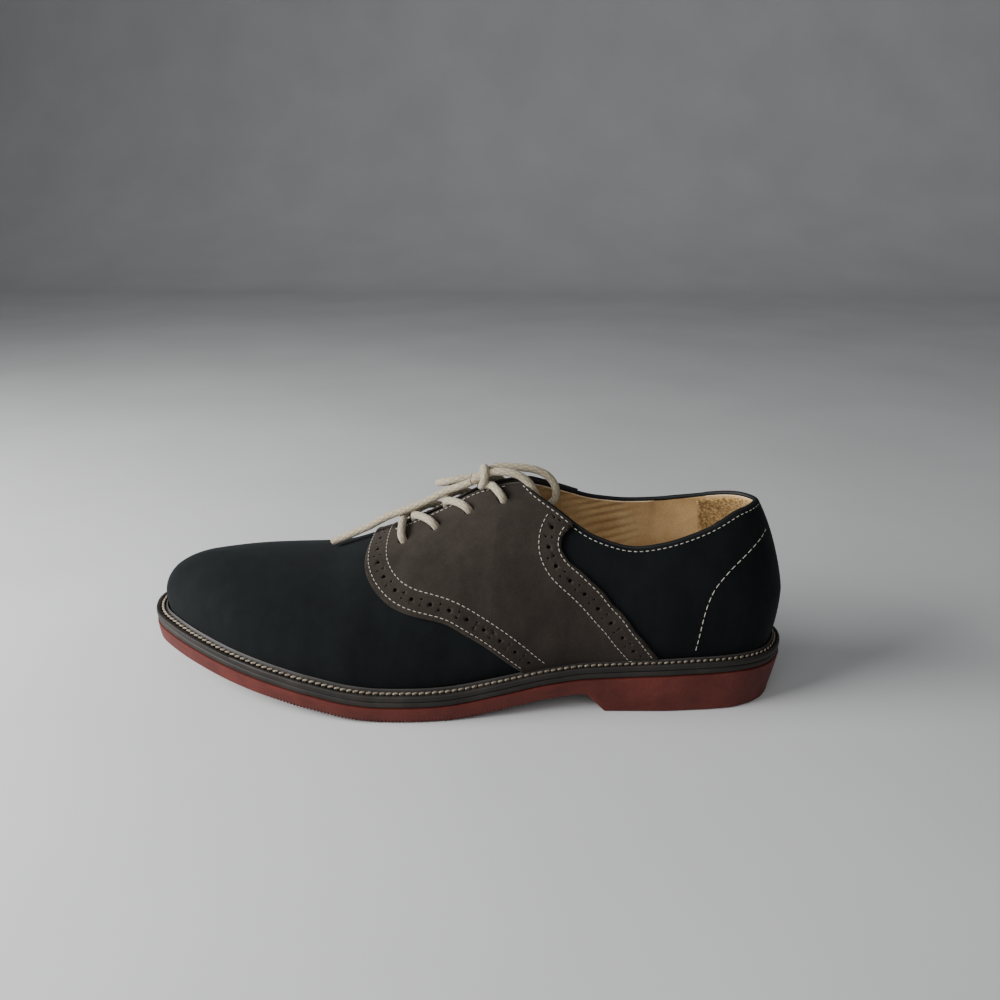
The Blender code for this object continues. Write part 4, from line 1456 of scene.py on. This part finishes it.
def pinholes(tree):
    """Round pins for the big holes and the pairs of small ones between them."""
    bm = bmesh.new()
    for line in pinhole_lines(tree):
        places = even_points(line, HOLE_PITCH / 2)
        for i, point in enumerate(places):
            place, normal, _, _ = tree.find_nearest(point)
            if i % 2 == 0:
                tube(bm, [place, place + normal * PIN_REACH], HOLE_BIG, 12)
                continue
            ahead = (places[min(i + 1, len(places) - 1)] - places[i - 1]).normalized()
            across = normal.cross(ahead).normalized()
            for k in (-1, 1):
                centre = place + across * (k * HOLE_PAIR)
                tube(bm, [centre, centre + normal * PIN_REACH], HOLE_SMALL, 8)
    return helper("pinholes", bm)


def make_saddle(tree, pins):
    bm, _ = upper_surface(upper_stations, SADDLE_FROM, SADDLE_TO)
    push(bm, ruffle)
    obj = mesh_object("saddle_suede", bm, [brown_suede, raw_edge])
    solidify(obj, OVERLAY, 1 + 2 * GAP / OVERLAY, rim=1)
    carve(obj, saddle_outline(), "INTERSECT")
    carve(obj, pins, "DIFFERENCE")
    carve(obj, pinholes(tree), "DIFFERENCE")
    obj = shown(baked(obj))
    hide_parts("saddle")


STITCH_PITCH = 0.00245
STITCH_LENGTH = 0.00168
STITCH_WIDE = 0.00042
COLLAR_ROW = 0.0014
COLLAR_PITCH = 0.00255
COLLAR_LENGTH = 0.0016
COUNTER_PITCH = 0.0036
COUNTER_LENGTH = 0.0027
COUNTER_LOW = 0.225
COUNTER_HIGH = 0.87
THROAT_ROW = 0.0020
THROAT_ROW_FRONT = 0.604
THROAT_ROW_REAR = FACING_TOP + 0.006
RIM_ROW_END = FACING_TOP + 0.004
STITCH_SINK = 0.0001


def leather_lift(point):
    """Height of the outermost leather over the upper's outside."""
    s = point.x / LENGTH
    share = min(1.0, point.z / INSTEP_HEIGHT)
    return SADDLE_TOP if saddle_rear(share) < s < saddle_front(share) else 0.0


def stitch_row(bm, tree, points, pitch=STITCH_PITCH, length=STITCH_LENGTH):
    """A row of stitches on whichever leather lies outermost."""
    places = even_points(points, pitch)
    for i in range(1, len(places) - 1):
        place, normal, _, _ = tree.find_nearest(places[i])
        along = (places[i + 1] - places[i - 1]).normalized()
        along = (along - normal * along.dot(normal)).normalized()
        centre = place + normal * (leather_lift(place) + STITCH_SINK)
        bead(bm, centre, along, normal, length, STITCH_WIDE, STITCH_WIDE)


def throat_row(side):
    """The row on one facing, beside the throat's edge."""
    stations = np.linspace(THROAT_ROW_FRONT, THROAT_ROW_REAR, 60)
    return [ridge_point(s, side, float(gap_at(s)) + THROAT_ROW) for s in stations]


def make_stitches(tree, rims):
    bm = bmesh.new()
    front = front_edge(tree)
    for distance in (ROW_EDGE, ROW_FRONT):
        stitch_row(bm, tree, run_on(tree, beside(tree, front, -distance)))
    for side in (OUTER, INNER):
        rear = rear_edge(tree, side)
        for distance in (ROW_EDGE, ROW_REAR):
            stitch_row(bm, tree, run_on(tree, beside(tree, rear, side * distance)))
        stitch_row(bm, tree, throat_row(side))
        rim = [point for s, point in rims[side] if s < RIM_ROW_END]
        stitch_row(bm, tree, beside(tree, rim, side * COLLAR_ROW), COLLAR_PITCH, COLLAR_LENGTH)
        heights = np.linspace(COUNTER_LOW, COUNTER_HIGH, 80)
        counter = [(float(counter_line(h)), h * INSTEP_HEIGHT) for h in heights]
        stitch_row(bm, tree, side_line(tree, counter, side), COUNTER_PITCH, COUNTER_LENGTH)
    closed_piece("seam_stitches", bm, [stitch_white], 80)


TONGUE_ROWS = 50
TONGUE_STEPS = 40


def make_tongue():
    bm = bmesh.new()
    layers = []
    for lift in (-WALL - TONGUE_GAP, -WALL - TONGUE_GAP - TONGUE_THICK):
        rows = []
        for share in np.linspace(0, 1, TONGUE_ROWS):
            s = TONGUE_TOP + share * (TONGUE_END - TONGUE_TOP)
            half = TONGUE_HALF_TOP + share * (TONGUE_HALF_END - TONGUE_HALF_TOP)
            spread = np.linspace(-half, half, TONGUE_STEPS)
            rows.append([bm.verts.new(over_ridge(s, OUTER, across, lift)) for across in spread])
        layers.append(rows)
    for rows in layers:
        sheet(bm, rows)
    rims = []
    for rows in layers:
        left = [row[0] for row in rows]
        right = [row[-1] for row in rows]
        rims.append(rows[0] + right[1:] + rows[-1][-2::-1] + left[-2:0:-1])
    bridge(bm, *rims)
    obj = closed_piece("tongue_suede", bm, [dark_suede], 50)
    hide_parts("tongue")


GRIP_END = 0.120
GRIP_DROP = 0.030
GRIP_LOW = 0.25
GRIP_ROWS = 16
GRIP_THICK = 0.0006
GRIP_GAP = 0.0001


def make_heel_grip():
    """The rough suede lining patch inside the heel."""
    stations = [s for s in upper_stations if s <= GRIP_END]
    bm = bmesh.new()
    grid = []
    order = [(s, INNER) for s in reversed(stations[1:])] + [(s, OUTER) for s in stations]
    for s, side in order:
        shape = column_shape(s, side)
        top = cut_angle(s, side, shape) - GRIP_DROP
        shares = [GRIP_LOW + (1 - GRIP_LOW) * k / GRIP_ROWS for k in range(GRIP_ROWS + 1)]
        grid.append([bm.verts.new(column_point(shape, angle=top * share)) for share in shares])
    sheet(bm, grid)
    bmesh.ops.recalc_face_normals(bm, faces=bm.faces)
    bm.normal_update()
    probe = min(bm.faces, key=lambda face: face.calc_center_median().x)
    if probe.normal.x > 0:
        bmesh.ops.reverse_faces(bm, faces=bm.faces)
    push(bm, lambda point: -WALL - GRIP_GAP)
    obj = mesh_object("heel_grip", bm, [grip_suede])
    solidify(obj, GRIP_THICK, -1)
    shown(baked(obj))


# Lace

ROUTES = {
    "lace_knot": (
        (0.1400, -0.0045, 0.0985),
        (0.1398, 0.0010, 0.1000),
        (0.1396, 0.0060, 0.1000),
    ),
    "lace_loop_rear": (
        (0.1350, 0.0048, 0.1034),
        (0.1290, 0.0058, 0.1036),
        (0.1235, 0.0066, 0.1024),
        (0.1190, 0.0070, 0.0992),
        (0.1164, 0.0068, 0.0948),
        (0.1142, 0.0056, 0.0903),
        (0.1106, 0.0030, 0.0875),
        (0.1073, -0.0002, 0.0893),
        (0.1072, -0.0022, 0.0945),
        (0.1104, -0.0028, 0.0992),
        (0.1160, -0.0026, 0.1022),
        (0.1220, -0.0020, 0.1034),
        (0.1285, -0.0016, 0.1040),
        (0.1352, -0.0013, 0.1040),
    ),
    "lace_loop_front": (
        (0.1452, -0.0008, 0.0988),
        (0.1510, -0.0012, 0.0976),
        (0.1565, -0.0026, 0.0960),
        (0.1606, -0.0060, 0.0942),
        (0.1621, -0.0108, 0.0925),
        (0.1603, -0.0154, 0.0912),
        (0.1558, -0.0170, 0.0912),
        (0.1514, -0.0146, 0.0926),
        (0.1482, -0.0104, 0.0943),
        (0.1452, -0.0056, 0.0962),
    ),
    "lace_end_front": (
        (0.1450, 0.0044, 0.0982),
        (0.1500, 0.0035, 0.0958),
        (0.1560, 0.0015, 0.0930),
        (0.1645, 0.0005, 0.0880),
        (0.1758, -0.0005, 0.0826),
        (0.1857, -0.0022, 0.0780),
        (0.1953, -0.0034, 0.0722),
        (0.2024, -0.0042, 0.0686),
        (0.2096, -0.0050, 0.0650),
        (0.2135, -0.0053, 0.0633),
    ),
    "lace_end_inner": (
        (0.1398, -0.0056, 0.0986),
        (0.1390, -0.0102, 0.0991),
        (0.1374, -0.0150, 0.0980),
        (0.1380, -0.0200, 0.0943),
        (0.1405, -0.0250, 0.0880),
        (0.1440, -0.0290, 0.0810),
        (0.1470, -0.0320, 0.0740),
    ),
}


def smooth_route(points, step):
    """Points at even steps on a smooth curve through a route's own points."""
    rows = np.array([tuple(p) for p in points])
    run = run_along(rows)
    marks = np.linspace(0, run[-1], max(4, round(run[-1] / step)) + 1)
    slopes = np.gradient(rows, run, axis=0)
    at = np.clip(np.searchsorted(run, marks, side="right") - 1, 0, len(run) - 2)
    width = (run[at + 1] - run[at])[:, None]
    t = ((marks - run[at])[:, None]) / width
    smooth = hermite(rows[at], rows[at + 1], slopes[at], slopes[at + 1], width, t)
    return [Vector(row) for row in smooth]


LACE_SIDES = 16
LACE_STEP = 0.0006
CORD_STEP = 0.0008
TIP_SIZES = (0.55, 0.85, 0.97)
STRAND_RADIUS = 0.0017


def lace_mesh(name, points, radius=LACE_RADIUS, taper=True):
    """A soft round lace along the points, slightly uneven, with UVs in lace widths for its braid."""
    bm = bmesh.new()
    sizes = []
    for i, point in enumerate(points):
        end = min(i, len(points) - 1 - i)
        fade = TIP_SIZES[end] if taper and end < len(TIP_SIZES) else 1.0
        sizes.append(float(radius * fade * (1 + 0.04 * noise.noise(point * 300))))
    rings = tube(bm, points, sizes, LACE_SIDES)
    layer = bm.loops.layers.uv.new("UVMap")
    index = {v: (i, j) for i, ring in enumerate(rings) for j, v in enumerate(ring)}
    run = [0.0]
    for a, b in zip(points, points[1:]):
        run.append(run[-1] + (b - a).length)
    for face in bm.faces:
        turns = [index[loop.vert][1] for loop in face.loops]
        over_seam = len(turns) == 4 and max(turns) == LACE_SIDES - 1
        for loop in face.loops:
            i, j = index[loop.vert]
            turn = j + (LACE_SIDES if j == 0 and over_seam else 0)
            loop[layer].uv = (run[i] / (2 * radius), turn / LACE_SIDES)
    return closed_piece(name, bm, [lace_cotton], 70)


def arc_over(corner_across, start, end):
    """A quarter turn over a corner of the saddle's outside, as (distance from the ridge, lift)."""
    turns = np.linspace(math.radians(start), math.radians(end), 8)
    return [(corner_across + LACE_BEND * math.cos(t), SADDLE_TOP + LACE_BEND * math.sin(t)) for t in turns]


CROSS_LEAD = 0.034
CROSS_LEAN = 0.006
CROSS_TAIL = 0.0008
CROSS_BULGE = 0.0003
HOLE_END = -0.0015
LACE_LIFT = SADDLE_TOP + LACE_BEND


def over_strand(index):
    """A strand out of the throat and over the facing's edge, before its eyelet."""
    start = eyelet(index)[0] + CROSS_LEAD
    path = [(start + CROSS_LEAN, -CROSS_TAIL, LACE_RADIUS + GAP - WALL - TONGUE_GAP)]
    bend = arc_over(float(gap_at(start)), 180, 90)
    return path + [(start + CROSS_LEAN * (1 - k / len(bend)), *point) for k, point in enumerate(bend)]


def into_hole(path, index, side):
    """A path with the stretch over the facing and down through an eyelet added, as points."""
    s_end, hole = eyelet(index)
    rim = hole - EYELET_RADIUS
    from_s, from_across = path[-1][0], path[-1][1]

    def at(across):
        return from_s + (s_end - from_s) * min(1.0, (across - from_across) / (hole - from_across))

    level = []
    for k in range(1, 6):
        across = from_across + (rim - from_across) * k / 6
        level.append((at(across), across, LACE_LIFT + CROSS_BULGE * math.sin(math.pi * k / 6)))
    fall = [(at(across), across, lift) for across, lift in arc_over(rim, 90, 0)]
    path = path + level + fall + [(s_end, hole, HOLE_END)]
    return [over_ridge(s, side, across, lift) for s, across, lift in path]


# Where the top pair of strands leaves the bow's middle
KNOT_PLACES = {OUTER: (0.1400, 0.0052, 0.0972), INNER: (0.1402, -0.0038, 0.0968)}
SUFFIX = {OUTER: "outer", INNER: "inner"}
TOP_LEAD = 0.016
TOP_ACROSS = 0.0065
BAR_LEAD = 0.004
BAR_BULGE = 0.0002


def make_lacing():
    """The bar and the crossings, each strand through its eyelets."""
    start = [(eyelet(0)[0] + BAR_LEAD, 0.0, LACE_LIFT + BAR_BULGE)]
    halves = {side: into_hole(start, 0, side) for side in (OUTER, INNER)}
    bar = halves[OUTER][:0:-1] + halves[INNER]
    obj = lace_mesh("lace_bottom_bar", smooth_route(bar, LACE_STEP), taper=False)
    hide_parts("lace_bar")
    for index in range(1, EYELETS):
        for side in (OUTER, INNER):
            if index < EYELETS - 1:
                points = into_hole(over_strand(index), index, side)
            else:
                start = [(eyelet(index)[0] + TOP_LEAD, TOP_ACROSS, LACE_LIFT)]
                points = [Vector(KNOT_PLACES[side])] + into_hole(start, index, side)
            route = smooth_route(points, LACE_STEP)
            piece = lace_mesh(f"lace_{SUFFIX[side]}_{index}", route, taper=False)
            if side == OUTER:
                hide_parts(f"lace_cross_{index}")


def make_cords():
    """The bow's loops and ends."""
    for name, far_end in (
        ("lace_loop_rear", "knot"),
        ("lace_loop_front", "knot"),
        ("lace_end_front", "bare"),
        ("lace_end_inner", "bare"),
    ):
        points = smooth_route(ROUTES[name], CORD_STEP)
        obj = lace_mesh(f"{name}_cotton", points, taper=False)
        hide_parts(name)


KNOT_WRAP = (
    (0.1390, 0.0069, 0.1000),
    (0.1387, 0.0056, 0.1030),
    (0.1391, 0.0020, 0.1040),
    (0.1400, -0.0017, 0.1030),
    (0.1408, -0.0032, 0.1000),
    (0.1413, -0.0018, 0.0970),
    (0.1411, 0.0018, 0.0960),
    (0.1401, 0.0054, 0.0970),
)
KNOT_STRANDS = (
    (
        (0.1345, 0.0048, 0.1034),
        (0.1372, 0.0040, 0.1021),
        (0.1400, 0.0035, 0.1003),
        (0.1428, 0.0040, 0.0991),
        (0.1458, 0.0044, 0.0979),
    ),
    (
        (0.1346, -0.0013, 0.1040),
        (0.1373, -0.0004, 0.1023),
        (0.1400, 0.0001, 0.1003),
        (0.1427, -0.0003, 0.0995),
        (0.1458, -0.0009, 0.0987),
    ),
)


def make_knot():
    """The bow's middle: one turn round the two strands that run through it."""
    turn = KNOT_WRAP[-2:] + KNOT_WRAP + KNOT_WRAP[:2]
    wrap = lace_mesh("lace_knot_wrap", smooth_route(turn, LACE_STEP))
    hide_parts("lace_knot")
    for number, strand in enumerate(KNOT_STRANDS, 1):
        lace_mesh(f"lace_knot_strand_{number}", smooth_route(strand, LACE_STEP), STRAND_RADIUS)


make_camera()
make_cords()
make_stage()
make_outsole()
make_midsole()
make_welt()
make_welt_stitches()
make_footbed()
pins = eyelet_pins()
surface, rims = make_upper(pins)
make_lining(pins)
make_binding(rims)
make_saddle(surface, pins)
make_stitches(surface, rims)
make_tongue()
make_heel_grip()
make_lacing()
make_knot()
for leftover in ("eyelet_pins", "saddle_outline", "pinholes"):
    bpy.data.objects.remove(bpy.data.objects[leftover], do_unlink=True)
